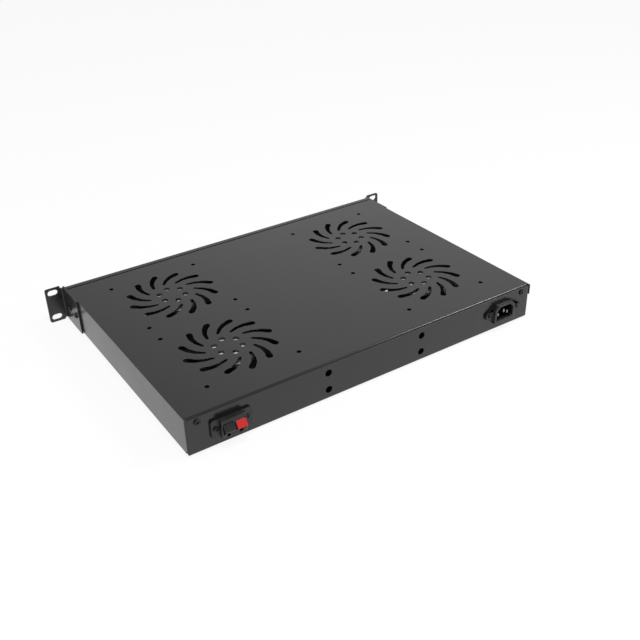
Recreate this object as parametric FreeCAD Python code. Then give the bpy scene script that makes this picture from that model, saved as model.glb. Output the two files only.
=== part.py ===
import FreeCAD, Part
import math
import os

# Rack fan tray, 1U high: four axial mains fans screwed to the floor of a folded tray under a
# flat cover, carried by two screwed-on rack ears. Millimetres, +Z up, -Y is the front of the
# rack, +X the right-hand side seen from the front. The origin is the bottom centre of the tray.

V = FreeCAD.Vector

# Rack interface
RACK_WIDTH = 482.6
EAR_SLOT_INSET = 8.74
RACK_HOLE_Z = 31.75
RACK_SLOT_LENGTH = 12.0
RACK_SLOT_WIDTH = 7.2
EAR_HEIGHT = 43.6
EAR_REACH = 22.4
EAR_SHEET = 2.0
EAR_FORWARD = 5.5
EAR_FLANGE_REACH = 44.0
EAR_BEND = 1.2
EAR_CORNER = 2.5
EAR_NOTCH_R = 2.2
EAR_NOTCH_DROP = 1.0
EAR_SCREW_Y = (14.0, 34.0)
EAR_SCREW_DROP = 1.2

# Folded sheet body
SHEET = 1.2
BEND = 0.8
FRONT_RETURN = 7.5
SEAM = 0.5
FRONT_GAP = 2.0
COVER_LIP = 13.0
COVER_SIDE_FIT = 0.1
WALL_DROP = 1.4
LIP_NOTCH_FIT = 0.6
SIDE_LIP_START = 52.0
TONGUE_WIDTH = 60.0
TONGUE_X = 130.0
TONGUE_REACH = 5.5
TONGUE_FIT = 0.2
CORNER_RELIEF_X = 1.8
CORNER_RELIEF_Y = 5.0
CORNER_RELIEF_Z = 4.0

# Rear panel pattern
REAR_HOLE_X = 60.0
REAR_HOLE_Z = 20.0
REAR_HOLE_D = 8.0
COVER_SCREW_INSET = 12.3

# Axial fan
FAN_SIZE = 120.0
FAN_DEPTH = 38.0
FAN_HEADROOM = 1.6
FAN_HOLE_INSET = 7.5
FAN_HOLE_D = 4.3
FAN_SIDE_ROOM = 34.7
FAN_FRONT_ROOM = 31.9
FAN_ROW_GAP = 12.4
FAN_REAR_ROOM = 28.6
FAN_BORE_MARGIN = 2.5
FAN_DUCT_WALL = 1.8
DUCT_SIDES = 8
FAN_FLANGE = 4.5
FAN_CORNER = 5.0
MOTOR_PLATE_T = 3.0
STRUTS = 4
STRUT_START = 45.0
STRUT_WIDTH = 6.0
STRUT_T = 3.5
BEARING_TUBE_R = 9.5
BEARING_R = 7.0
SHAFT_R = 2.5
RUN_FIT = 0.05
STATOR_AIR = 5.5
STATOR_H = 17.0
STATOR_ARM = 21.0
STATOR_GAP = 3.0
CUP_R = 31.0
CUP_WALL = 1.5
CUP_FLOOR_GAP = 3.6
CUP_TOP_GAP = 1.0
CUP_EDGE = 2.0
SLEEVE_WALL = 1.6
BLADES = 5
BLADE_TIP_GAP = 1.4
BLADE_T = 1.8
BLADE_H_ROOT = 24.0
BLADE_H_TIP = 20.0
BLADE_CHORD_ROOT = 25.0
BLADE_CHORD_TIP = 46.0
BLADE_CAMBER = 3.0
BLADE_RISE = 13.5
BLADE_SPANS = 3
SHAFT_END_GAP = 0.5
BORE_SIDES = 32
CUP_SIDES = 24
TUBE_SIDES = 12
SHAFT_SIDES = 16

# Punched vent above and below each fan
VENT_SLOTS = 12
VENT_IN_R = 27.0
VENT_OUT_R = 48.5
VENT_IN_HALF = 1.7
VENT_OUT_HALF = 3.7
VENT_TWIST = 26.3
VENT_BOW = 2.9
VENT_START = 90.0
VENT_HOLES = 6
VENT_HOLE_START = 30.0
VENT_HOLE_RING = 14.8
VENT_HOLE_D = 7.0
SLOT_SPANS = 3
NOSE_SPANS = 4
HOLE_SIDES = 10
FIX_HOLE_D = 5.0
FLOOR_SLOTS = 12
FLOOR_SLOT_IN_R = 30.0
FLOOR_SLOT_OUT_R = 55.0
FLOOR_SLOT_IN_HALF = 3.0
FLOOR_SLOT_OUT_HALF = 5.0

# Mains inlet, appliance-coupler size
INLET_INSET = 41.5
INLET_Z = 21.9
INLET_SCREW_PITCH = 40.0
INLET_FLANGE_MID = 12.0
INLET_FLANGE_LAP = 3.05
INLET_FLANGE_END_R = 6.0
INLET_END_ANGLE = 60.0
INLET_FLANGE_T = 2.6
INLET_COLLAR_OUT = 5.6
INLET_OPEN_W = 24.4
INLET_OPEN_H = 16.4
INLET_OPEN_CHAMFER = 4.6
INLET_RIM_CHAMFER = 5.0
INLET_WALL = 2.9
INLET_POCKET = 16.0
INLET_BACK = 3.0
INLET_BODY_WALL = 1.6
PIN_W = 2.0
PIN_H = 4.0
PIN_PITCH = 14.0
EARTH_RISE = 1.1
LIVE_DROP = 2.9
PIN_RECESS = 3.0
EARTH_PIN_EXTRA = 1.5
PIN_CHAMFER = 0.6
TAG_W = 4.8
TAG_T = 0.8
TAG_LENGTH = 8.0

# Two-pole push terminal
TERM_INSET = 46.4
TERM_Z = 20.9
TERM_FLANGE_END = 5.0
TERM_FLANGE_H = 21.0
TERM_FLANGE_T = 2.5
TERM_FLANGE_R = 3.0
TERM_SIDE_WALL = 1.4
TERM_BLOCK_H = 20.0
TERM_BLOCK_OUT = 8.0
TERM_BLOCK_IN = 10.0
TERM_BLOCK_CHAMFER = 0.8
TERM_SCREW_OUT = 3.5
TERM_POLE_PITCH = 13.3
WIRE_HOLE_D = 3.6
WIRE_HOLE_DROP = 7.9
LEVER_W = 10.4
LEVER_FIT = 0.25
LEVER_TIP_OUT = 12.3
LEVER_TIP_Z = -0.6
LEVER_TOP_Z = 5.5
LEVER_TOP_OUT = 7.0
LEVER_UNDER = 1.7
LEVER_BACK_OUT = 1.0
LEVER_PIVOT_OUT = 3.6
LEVER_PIVOT_Z = 2.4
LEVER_PIN_R = 1.2
LEVER_PIN_FIT = 0.06
LEVER_PIN_SEAT = 0.02
LEVER_PIN_GRIP = 0.6
LEVER_ROUND = 0.7
LEVER_REAR_ROOM = 2.35
LEVER_TOP_ROOM = 1.0
LEVER_SWEEP_ROOM = 3.2

# Front controls
THERMO_X = 0.0
THERMO_RIM_X = 2.25
THERMO_RIM_Z = 2.75
THERMO_BEZEL_T = 3.0
THERMO_CORNER = 3.0
THERMO_CASE_W = 70.5
THERMO_CASE_H = 28.5
THERMO_CASE_DEPTH = 22.0
THERMO_WALL = 1.8
LENS_W = 38.0
LENS_H = 19.0
LENS_T = 1.5
LENS_INSET = 3.25
LENS_LEDGE = 2.0
BUTTONS = 3
BUTTON_INSET = 8.25
BUTTON_END_ROOM = 0.95
BUTTON_W = 10.0
BUTTON_H = 5.0
BUTTON_OUT = 1.0
BUTTON_FIT = 0.25
BUTTON_FLANGE = 0.8
BUTTON_TRAVEL = 0.8
BUTTON_ROUND = 0.6
BUTTON_STEM = 2.5
BOARD_T = 1.6
BOARD_DEPTH = 10.0
RELAY_X = -16.0
RELAY_W = 19.0
RELAY_H = 15.0
SWITCH_X = 76.0
SWITCH_RIM_X = 1.0
SWITCH_RIM_Z = 1.2
SWITCH_BEZEL_T = 2.0
SWITCH_END_WALL = 0.8
SWITCH_SIDE_WALL = 1.25
SWITCH_CASE_DEPTH = 16.0
SWITCH_WALL = 1.2
ROCKER_W = 16.0
ROCKER_H = 9.6
ROCKER_RISE = 3.4
ROCKER_DISH = 1.2
ROCKER_DEPTH = 5.0
ROCKER_TILT = 9.0
ROCKER_PIN_R = 1.2
ROCKER_WAIST = 14.4
ROCKER_FOOT = 5.6
ROCKER_SWING_ROOM = 0.7
SWITCH_TAB_PITCH = 6.4
CUTOUT_FIT = 0.25

# Fasteners: clearance holes, heads and nuts
M3_R = 1.5
M3_HEAD_R = 2.8
M3_HEAD_H = 1.8
M3_NUT_AF = 5.5
M3_NUT_H = 2.4
M35_HEAD_R = 3.5
M35_HEAD_H = 2.1
M4_R = 2.0
M4_HEAD_R = 4.0
M4_HEAD_H = 1.5
M4_NUT_AF = 7.0
M4_NUT_H = 3.2
HOLE_FIT = 0.2
NUT_FIT = 0.1
SCREW_END = 1.0
SCREW_SIDES = 8

# How far a cutter runs past the face it opens
PAST = 1.0

UP = V(0, 0, 1)
BACK = V(0, 1, 0)
RIGHT = V(1, 0, 0)

# Sizes worked out from the ones above
RACK_HOLE_X = RACK_WIDTH - 2 * EAR_SLOT_INSET
BODY_WIDTH = RACK_WIDTH - 2 * EAR_REACH
BODY_DEPTH = FAN_FRONT_ROOM + FAN_ROW_GAP + FAN_REAR_ROOM + 2 * FAN_SIZE
FAN_PITCH = FAN_SIZE - 2 * FAN_HOLE_INSET
FAN_BORE_R = FAN_SIZE / 2 - FAN_BORE_MARGIN
MOTOR_PLATE_R = CUP_R
STATOR_R = CUP_R - CUP_WALL - STATOR_AIR
SLEEVE_R = CUP_R + RUN_FIT + SLEEVE_WALL
INLET_FLANGE_H = INLET_OPEN_H + 2 * INLET_FLANGE_LAP
TERM_BLOCK_W = TERM_POLE_PITCH + LEVER_W + 2 * (LEVER_FIT + TERM_SIDE_WALL)
TERM_SCREW_PITCH = TERM_BLOCK_W + 2 * TERM_SCREW_OUT
TERM_FLANGE_W = TERM_SCREW_PITCH + 2 * TERM_FLANGE_END
THERMO_BEZEL_W = THERMO_CASE_W + 2 * THERMO_RIM_X
THERMO_BEZEL_H = THERMO_CASE_H + 2 * THERMO_RIM_Z
LENS_X = LENS_INSET + LENS_W / 2 - THERMO_CASE_W / 2
BUTTON_X = THERMO_CASE_W / 2 - BUTTON_INSET - BUTTON_W / 2
BUTTON_SPREAD = THERMO_CASE_H - 2 * (THERMO_WALL + BUTTON_END_ROOM + BUTTON_FLANGE) - BUTTON_H
BUTTON_PITCH = BUTTON_SPREAD / (BUTTONS - 1)
SWITCH_CASE_W = ROCKER_W + 2 * (ROCKER_SWING_ROOM + SWITCH_END_WALL)
SWITCH_CASE_H = ROCKER_H + 2 * (CUTOUT_FIT + SWITCH_SIDE_WALL)
SWITCH_BEZEL_W = SWITCH_CASE_W + 2 * SWITCH_RIM_X
SWITCH_BEZEL_H = SWITCH_CASE_H + 2 * SWITCH_RIM_Z

# Positions worked out from those sizes
BODY_HEIGHT = FAN_DEPTH + FAN_HEADROOM + 2 * SHEET
BODY_TOP = EAR_HEIGHT
BODY_BOTTOM = BODY_TOP - BODY_HEIGHT
FLOOR = BODY_BOTTOM + SHEET
OVERALL_DEPTH = EAR_FORWARD + BODY_DEPTH + LEVER_TIP_OUT
FRONT = EAR_FORWARD - OVERALL_DEPTH / 2
REAR = FRONT + BODY_DEPTH
HALF_WIDTH = BODY_WIDTH / 2
BEND_OUT = BEND + SHEET
BODY_MID = BODY_BOTTOM + BODY_HEIGHT / 2
EAR_MID = EAR_HEIGHT / 2
COVER_FRONT = FRONT + FRONT_RETURN + FRONT_GAP
COVER_REAR = REAR - SHEET - SEAM
LIP_END = HALF_WIDTH - SHEET - SEAM
COVER_LEFT = -(HALF_WIDTH + COVER_SIDE_FIT + SHEET)
COVER_SCREW_X = HALF_WIDTH - COVER_SCREW_INSET
COVER_SCREW_Z = BODY_TOP - COVER_LIP / 2
FAN_X = HALF_WIDTH - FAN_SIDE_ROOM - FAN_SIZE / 2
FRONT_ROW = FRONT + FAN_FRONT_ROOM + FAN_SIZE / 2
FAN_ROWS = (FRONT_ROW, FRONT_ROW + FAN_SIZE + FAN_ROW_GAP)
FANS = [(side * FAN_X, row) for row in FAN_ROWS for side in (-1, 1)]
FAN_TOP = FLOOR + FAN_DEPTH
CUP_TOP = FAN_TOP - CUP_TOP_GAP
MOTOR_PLATE_TOP = FLOOR + MOTOR_PLATE_T
CUP_BOTTOM = MOTOR_PLATE_TOP + CUP_FLOOR_GAP
BEARING_TUBE_TOP = MOTOR_PLATE_TOP + STATOR_H + STATOR_GAP
INLET_MID = V(INLET_INSET - HALF_WIDTH, REAR, BODY_BOTTOM + INLET_Z)
TERM_MID = V(HALF_WIDTH - TERM_INSET, REAR, BODY_BOTTOM + TERM_Z)
PIVOT = (REAR + LEVER_PIVOT_OUT, BODY_BOTTOM + TERM_Z + LEVER_PIVOT_Z)


def around(count, start=0.0):
    """Angles evenly spread round a full turn, in degrees."""
    return [start + k * 360 / count for k in range(count)]


def box(x0, y0, z0, x1, y1, z1):
    return Part.makeBox(x1 - x0, y1 - y0, z1 - z0, V(x0, y0, z0))


def centred_box(x, z, width, height, y0, y1):
    """A block centred on (x, z), lying between two planes across Y."""
    return box(x - width / 2, y0, z - height / 2, x + width / 2, y1, z + height / 2)


def prism(points, direction):
    """A straight-sided outline swept along a direction."""
    return Part.Face(Part.makePolygon(points + points[:1])).extrude(direction)


def extrude(edges, direction):
    """A closed outline of lines and arcs swept along a direction."""
    return Part.Face(Part.Wire(edges)).extrude(direction)


def ngon(radius, sides, start=0.0):
    """Corners of a regular outline round the origin."""
    return [V(radius * math.cos(math.radians(a)), radius * math.sin(math.radians(a)), 0)
            for a in around(sides, start)]


def across(apothem, sides):
    """Corner radius of a regular outline whose flats lie a given distance from its middle."""
    return apothem / math.cos(math.pi / sides)


def many_sided(radius, sides, z0, z1):
    """Upright many-sided column with its corners on the radius."""
    return prism([p + V(0, 0, z0) for p in ngon(radius, sides)], V(0, 0, z1 - z0))


def drill(place, direction, radius, length, sides):
    """Many-sided hole cutter whose flats clear the radius."""
    tool = many_sided(across(radius, sides), sides, 0, length)
    tool.Placement = FreeCAD.Placement(place, FreeCAD.Rotation(UP, direction))
    return tool


def line(a, b):
    return Part.LineSegment(a, b).toShape()


def arc(a, b, c):
    return Part.Arc(a, b, c).toShape()


def fuse(shapes):
    return shapes[0].multiFuse(shapes[1:]).removeSplitter()


def rounded(shape, radius, wanted):
    """The shape with the edges that a test picks out rounded off."""
    edges = [edge for edge in shape.Edges if wanted(edge.CenterOfMass)]
    return shape.makeFillet(radius, edges)


def near(a, b):
    return abs(a - b) < 1e-4


def mirrored(shape):
    return shape.mirror(V(0, 0, 0), RIGHT)


def placed(shape, x, y, z, angle=0):
    """A copy turned about the Z axis and then moved."""
    copy = shape.copy()
    copy.Placement = FreeCAD.Placement(V(x, y, z), FreeCAD.Rotation(UP, angle))
    return copy


def solids_of(shapes):
    """Separate solids kept apart in one shape, for a group of equal fasteners."""
    return Part.makeCompound([solid for shape in shapes for solid in shape.Solids])


def cut_all(shape, cutters):
    return shape.cut(Part.makeCompound(cutters))


# ---- punched sheet -------------------------------------------------------------------------


def comma_slot():
    """Comma-shaped vent outline: a bowed centre line, a width that grows outwards, round noses."""
    inner = V(VENT_IN_R, 0, 0)
    twist = math.radians(-VENT_TWIST)
    outer = V(VENT_OUT_R * math.cos(twist), VENT_OUT_R * math.sin(twist), 0)
    side = V(inner.y - outer.y, outer.x - inner.x, 0).normalize()
    middle = (inner + outer) / 2 + side * VENT_BOW
    centre = arc(inner, middle, outer).Curve.Center
    start = math.degrees(math.atan2(inner.y - centre.y, inner.x - centre.x))
    sweep = math.degrees(math.atan2(outer.y - centre.y, outer.x - centre.x)) - start
    bend_r = (inner - centre).Length

    def corner(along, round_angle):
        """A corner beside the centre line, `along` of its length, on a circle as wide as the slot."""
        half = VENT_IN_HALF + (VENT_OUT_HALF - VENT_IN_HALF) * along
        a = math.radians(start + sweep * along)
        b = a + math.radians(round_angle)
        return centre + V(bend_r * math.cos(a) + half * math.cos(b),
                          bend_r * math.sin(a) + half * math.sin(b), 0)
    ahead = math.copysign(1, sweep)
    points = [corner(k / SLOT_SPANS, 0) for k in range(SLOT_SPANS)]
    points += [corner(1, ahead * 180 * k / NOSE_SPANS) for k in range(NOSE_SPANS + 1)]
    points += [corner(1 - k / SLOT_SPANS, 180) for k in range(1, SLOT_SPANS)]
    points += [corner(0, ahead * (180 + 180 * k / NOSE_SPANS)) for k in range(NOSE_SPANS)]
    return points


def cover_vents(z0, depth):
    """Over each fan: comma slots round a ring of round holes."""
    slot = prism(comma_slot(), V(0, 0, depth))
    tools = []
    for x, y in FANS:
        for angle in around(VENT_SLOTS, VENT_START + VENT_TWIST):
            tools.append(placed(slot, x, y, z0, angle))
        for place in ngon(VENT_HOLE_RING, VENT_HOLES, VENT_HOLE_START):
            tools.append(drill(place + V(x, y, z0), UP, VENT_HOLE_D / 2, depth, HOLE_SIDES))
    return tools


def floor_vents(z0, depth):
    """Under each fan: straight radial slots that widen outwards."""
    corners = [V(FLOOR_SLOT_IN_R, -FLOOR_SLOT_IN_HALF, 0),
               V(FLOOR_SLOT_OUT_R, -FLOOR_SLOT_OUT_HALF, 0),
               V(FLOOR_SLOT_OUT_R, FLOOR_SLOT_OUT_HALF, 0),
               V(FLOOR_SLOT_IN_R, FLOOR_SLOT_IN_HALF, 0)]
    slot = prism(corners, V(0, 0, depth))
    return [placed(slot, x, y, z0, angle) for x, y in FANS for angle in around(FLOOR_SLOTS)]


def fixing_holes(z0, depth):
    """Clearance holes over the corners of every fan."""
    holes = [hole for x, y in FANS for hole in fan_fixings(x, y)]
    return [drill(V(hole.x, hole.y, z0), UP, FIX_HOLE_D / 2, depth, HOLE_SIDES)
            for hole in holes]


def fan_fixings(x, y):
    half = FAN_PITCH / 2
    return [V(x + i * half, y + j * half, 0) for i in (-1, 1) for j in (-1, 1)]


def rear_hole(x, z, radius):
    """Small screw hole through the rear panel and what is flanged to it."""
    return drill(V(x, COVER_REAR - 2 * SHEET, z), BACK, radius, 7 * SHEET, SCREW_SIDES)


def ear_screw_places():
    return [V(HALF_WIDTH, FRONT + y, BODY_MID - EAR_SCREW_DROP) for y in EAR_SCREW_Y]


def tray_cavity():
    """The room inside the tray, which leaves the walls and the strip returned over the front."""
    low = V(-HALF_WIDTH + SHEET, FRONT + SHEET, FLOOR)
    room = box(low.x, low.y, low.z, -low.x, REAR - SHEET, BODY_TOP - SHEET)
    room = rounded(room, BEND, lambda c: near(c.z, FLOOR) or (near(abs(c.x), -low.x) and
                   (near(c.y, low.y) or near(c.y, REAR - SHEET))))
    mouth = box(low.x, FRONT + FRONT_RETURN, BODY_TOP - 2 * BEND_OUT, -low.x, REAR - SHEET,
                BODY_TOP + SHEET)
    return room.fuse(mouth)


def base_tray():
    """Floor, four walls and front return strip, folded from one sheet and punched."""
    body = box(-HALF_WIDTH, FRONT, BODY_BOTTOM, HALF_WIDTH, REAR, BODY_TOP)
    body = rounded(body, BEND_OUT, lambda c: near(c.z, BODY_BOTTOM) or
                   (near(abs(c.x), HALF_WIDTH) and (near(c.y, FRONT) or near(c.y, REAR)) and
                    near(c.z, BODY_MID)) or (near(c.z, BODY_TOP) and near(c.y, FRONT)))
    tray = body.cut(tray_cavity())
    wall_top = BODY_TOP - BEND_OUT
    below, through = BODY_BOTTOM - SHEET, 3 * SHEET
    tools = floor_vents(below, through) + fixing_holes(below, through)
    tools.append(box(-HALF_WIDTH - PAST, FRONT + FRONT_RETURN, wall_top,
                     -HALF_WIDTH + 2 * SHEET, REAR + PAST, BODY_TOP + PAST))
    tools.append(box(-HALF_WIDTH - PAST, REAR - 2 * SHEET, BODY_TOP - WALL_DROP,
                     HALF_WIDTH + PAST, REAR + PAST, BODY_TOP + PAST))
    tools.append(box(LIP_END, FRONT + FRONT_RETURN, BODY_TOP - SHEET - COVER_SIDE_FIT,
                     HALF_WIDTH + PAST, REAR + PAST, BODY_TOP + PAST))
    for side in (-1, 1):
        edge = side * HALF_WIDTH
        inner, outer = sorted((edge - side * CORNER_RELIEF_X, edge + side * PAST))
        tools.append(box(inner, REAR - CORNER_RELIEF_Y, BODY_BOTTOM - PAST,
                         outer, REAR - SHEET, BODY_BOTTOM + CORNER_RELIEF_Z))
    tools += rear_panel_cutters() + front_panel_cutters()
    for place in ear_screw_places():
        for side in (-1, 1):
            start = V(side * (place.x - 2 * SHEET), place.y, place.z)
            tools.append(drill(start, RIGHT * side, M4_R + HOLE_FIT, 4 * SHEET, SCREW_SIDES))
    return cut_all(tray, tools)


def rear_panel_cutters():
    tools = []
    for side in (-1, 1):
        for row in (-1, 1):
            z = BODY_MID + row * REAR_HOLE_Z / 2
            place = V(side * REAR_HOLE_X, REAR - 2 * SHEET, z)
            tools.append(Part.makeCylinder(REAR_HOLE_D / 2, 4 * SHEET, place, BACK))
        tools.append(rear_hole(side * COVER_SCREW_X, COVER_SCREW_Z, M3_R + HOLE_FIT))
        x = INLET_MID.x + side * INLET_SCREW_PITCH / 2
        tools.append(rear_hole(x, INLET_MID.z, M3_R + HOLE_FIT))
        x = TERM_MID.x + side * TERM_SCREW_PITCH / 2
        tools.append(rear_hole(x, TERM_MID.z, M3_R + HOLE_FIT))
    y0, y1 = REAR - 2 * SHEET, REAR + SHEET
    width, height = inlet_body_size()
    fit = 2 * CUTOUT_FIT
    tools.append(centred_box(INLET_MID.x, INLET_MID.z, width + fit, height + fit, y0, y1))
    width, height = terminal_body_size()
    tools.append(centred_box(TERM_MID.x, TERM_MID.z, width + fit, height + fit, y0, y1))
    return tools


def front_panel_cutters():
    y0, y1 = FRONT - SHEET, FRONT + 2 * SHEET
    fit = 2 * CUTOUT_FIT
    return [
        centred_box(THERMO_X, BODY_MID, THERMO_CASE_W + fit, THERMO_CASE_H + fit, y0, y1),
        centred_box(SWITCH_X, BODY_MID, SWITCH_CASE_W + fit, SWITCH_CASE_H + fit, y0, y1),
    ]


def bent_edge(length, drop, along, outward, start):
    """A lip folded down from a flat sheet: rounded outside and inside, one sheet thick."""
    def at(out, down):
        return start + outward * out - V(0, 0, down)
    c = math.cos(math.pi / 4)
    edges = [
        arc(at(-BEND_OUT, 0), at(-BEND_OUT + BEND_OUT * c, BEND_OUT - BEND_OUT * c),
            at(0, BEND_OUT)),
        line(at(0, BEND_OUT), at(0, drop)),
        line(at(0, drop), at(-SHEET, drop)),
        line(at(-SHEET, drop), at(-SHEET, BEND_OUT)),
        arc(at(-SHEET, BEND_OUT), at(-BEND_OUT + BEND * c, BEND_OUT - BEND * c),
            at(-BEND_OUT, SHEET)),
        line(at(-BEND_OUT, SHEET), at(-BEND_OUT, 0)),
    ]
    return extrude(edges, along * length)


def tongue(x):
    """A joggled tongue of the cover that hooks under the front return strip."""
    top = BODY_TOP
    under = BODY_TOP - SHEET - TONGUE_FIT
    y = COVER_FRONT
    reach = FRONT + FRONT_RETURN - TONGUE_REACH
    x0 = x - TONGUE_WIDTH / 2
    points = [V(x0, y + 2 * SHEET, top), V(x0, y, top), V(x0, y, under),
              V(x0, reach, under), V(x0, reach, under - SHEET),
              V(x0, y + SHEET, under - SHEET), V(x0, y + 2 * SHEET, top - SHEET)]
    return prism(points, V(TONGUE_WIDTH, 0, 0))


def top_cover():
    """Flat punched lid: laid on the right wall, a lip inside the rear and one outside the left."""
    x0, y1 = COVER_LEFT + BEND_OUT, COVER_REAR - BEND_OUT
    plate = box(x0, COVER_FRONT, BODY_TOP - SHEET, HALF_WIDTH, y1, BODY_TOP)
    side_start = FRONT + SIDE_LIP_START
    pieces = [plate, tongue(-TONGUE_X), tongue(TONGUE_X)]
    pieces.append(bent_edge(2 * LIP_END, COVER_LIP, RIGHT, BACK,
                            V(-LIP_END, COVER_REAR, BODY_TOP)))
    pieces.append(bent_edge(REAR - side_start, COVER_LIP, BACK, -RIGHT,
                            V(COVER_LEFT, side_start, BODY_TOP)))
    pieces.append(box(x0, y1, BODY_TOP - SHEET, -LIP_END, REAR, BODY_TOP))
    pieces.append(box(LIP_END, y1, BODY_TOP - SHEET, HALF_WIDTH, REAR, BODY_TOP))
    pieces.append(box(-HALF_WIDTH, COVER_FRONT, BODY_TOP - SHEET, x0, side_start, BODY_TOP))
    cover = fuse(pieces)
    below, through = BODY_TOP - 2 * SHEET, 3 * SHEET
    tools = cover_vents(below, through) + fixing_holes(below, through)
    for side in (-1, 1):
        tools.append(rear_hole(side * COVER_SCREW_X, COVER_SCREW_Z, M3_R + HOLE_FIT))
        tools.append(lip_notch(side * REAR_HOLE_X, REAR_HOLE_D,
                               BODY_MID + (REAR_HOLE_Z + REAR_HOLE_D) / 2))
    for mid, size in ((INLET_MID, inlet_body_size()), (TERM_MID, terminal_body_size())):
        tools.append(lip_notch(mid.x, size[0], mid.z + size[1] / 2))
    return cut_all(cover, tools)


def lip_notch(x, width, top):
    """Cutter that clears the rear lip away from something in the rear panel."""
    half = width / 2 + LIP_NOTCH_FIT
    return box(x - half, COVER_REAR - 2 * SHEET, BODY_TOP - COVER_LIP - PAST,
               x + half, COVER_REAR + PAST, top + LIP_NOTCH_FIT)


def rack_ear():
    """Right-hand L bracket: slotted plate across the rack rail, flange along the tray wall."""
    face = FRONT - EAR_FORWARD
    back = face + EAR_SHEET
    end = FRONT + EAR_FLANGE_REACH
    x0, x1 = HALF_WIDTH, HALF_WIDTH + EAR_SHEET
    outer = EAR_BEND + EAR_SHEET
    c = math.cos(math.pi / 4)
    centre = V(x0 + outer, face + outer, 0)
    edge = RACK_WIDTH / 2
    edges = [
        line(V(edge, face, 0), V(centre.x, face, 0)),
        arc(V(centre.x, face, 0), centre + V(-outer * c, -outer * c, 0), V(x0, centre.y, 0)),
        line(V(x0, centre.y, 0), V(x0, end, 0)),
        line(V(x0, end, 0), V(x1, end, 0)),
        line(V(x1, end, 0), V(x1, centre.y, 0)),
        arc(V(x1, centre.y, 0), centre + V(-EAR_BEND * c, -EAR_BEND * c, 0),
            V(centre.x, back, 0)),
        line(V(centre.x, back, 0), V(edge, back, 0)),
        line(V(edge, back, 0), V(edge, face, 0)),
    ]
    ear = extrude(edges, V(0, 0, EAR_HEIGHT))
    ear = rounded(ear, EAR_CORNER, lambda p: near(p.x, edge) and near(p.y, face + EAR_SHEET / 2))
    tools = [box(x0 - PAST, face - PAST, -PAST, centre.x, end + PAST, BODY_BOTTOM)]
    notch_x = x0 + EAR_NOTCH_R
    for z in (0, EAR_HEIGHT - EAR_NOTCH_DROP):
        tools.append(drill(V(notch_x, face - PAST, z), BACK, EAR_NOTCH_R, outer + 2 * PAST,
                           SCREW_SIDES))
    tools.append(box(x0 - PAST, face - PAST, EAR_HEIGHT - EAR_NOTCH_DROP, notch_x + EAR_NOTCH_R,
                     centre.y, EAR_HEIGHT + PAST))
    for row in (-1, 1):
        tools.append(rack_slot(row, face))
    for place in ear_screw_places():
        tools.append(drill(place - RIGHT * PAST, RIGHT, M4_R + HOLE_FIT, EAR_SHEET + 2 * PAST,
                           SCREW_SIDES))
    return cut_all(ear, tools)


def rack_slot(row, face):
    x = RACK_HOLE_X / 2
    z = EAR_MID + row * RACK_HOLE_Z / 2
    reach = (RACK_SLOT_LENGTH - RACK_SLOT_WIDTH) / 2
    r = RACK_SLOT_WIDTH / 2
    y = face - PAST
    edges = [
        line(V(x - reach, y, z + r), V(x + reach, y, z + r)),
        arc(V(x + reach, y, z + r), V(x + reach + r, y, z), V(x + reach, y, z - r)),
        line(V(x + reach, y, z - r), V(x - reach, y, z - r)),
        arc(V(x - reach, y, z - r), V(x - reach - r, y, z), V(x - reach, y, z + r)),
    ]
    return extrude(edges, V(0, EAR_SHEET + 2 * PAST, 0))


# ---- fasteners -----------------------------------------------------------------------------


def screw(place, direction, radius, head_r, head_h, length):
    """Cheese-head screw: the head seats on `place`, the shank runs against `direction`."""
    shape = many_sided(head_r, SCREW_SIDES, 0, head_h)
    shape = shape.fuse(many_sided(radius, SCREW_SIDES, -length, 0))
    shape.Placement = FreeCAD.Placement(place, FreeCAD.Rotation(UP, direction))
    return shape


def nut(place, direction, across_flats, height, bore):
    """Hexagon nut: one face seats on `place`, the other lies along `direction`."""
    body = many_sided(across(across_flats / 2, 6), 6, 0, height)
    body = body.cut(drill(V(0, 0, 0), UP, bore, height, SCREW_SIDES))
    body.Placement = FreeCAD.Placement(place, FreeCAD.Rotation(UP, direction))
    return body


def ear_fasteners():
    screws, nuts = [], []
    length = EAR_SHEET + SHEET + M4_NUT_H + SCREW_END
    for place in ear_screw_places():
        for side in (-1, 1):
            seat = V(side * (HALF_WIDTH + EAR_SHEET), place.y, place.z)
            screws.append(screw(seat, V(side, 0, 0), M4_R, M35_HEAD_R, M35_HEAD_H, length))
            inside = V(side * (HALF_WIDTH - SHEET), place.y, place.z)
            nuts.append(nut(inside, V(-side, 0, 0), M4_NUT_AF, M4_NUT_H, M4_R + NUT_FIT))
    return solids_of(screws), solids_of(nuts)


def cover_fasteners():
    screws, nuts = [], []
    length = 2 * SHEET + SEAM + M3_NUT_H + SCREW_END
    for side in (-1, 1):
        seat = V(side * COVER_SCREW_X, REAR, COVER_SCREW_Z)
        screws.append(screw(seat, BACK, M3_R, M35_HEAD_R, M35_HEAD_H, length))
        inside = V(seat.x, COVER_REAR - SHEET, seat.z)
        nuts.append(nut(inside, -BACK, M3_NUT_AF, M3_NUT_H, M3_R + NUT_FIT))
    return solids_of(screws), solids_of(nuts)


def fan_fasteners():
    """Thread-forming screws from below, through the floor into the lower fan flanges."""
    screws = []
    length = SHEET + FAN_FLANGE + SCREW_END
    for x, y in FANS:
        for hole in fan_fixings(x, y):
            seat = V(hole.x, hole.y, BODY_BOTTOM)
            screws.append(screw(seat, -UP, FAN_HOLE_D / 2 - NUT_FIT, M4_HEAD_R, M4_HEAD_H, length))
    return solids_of(screws)


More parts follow.
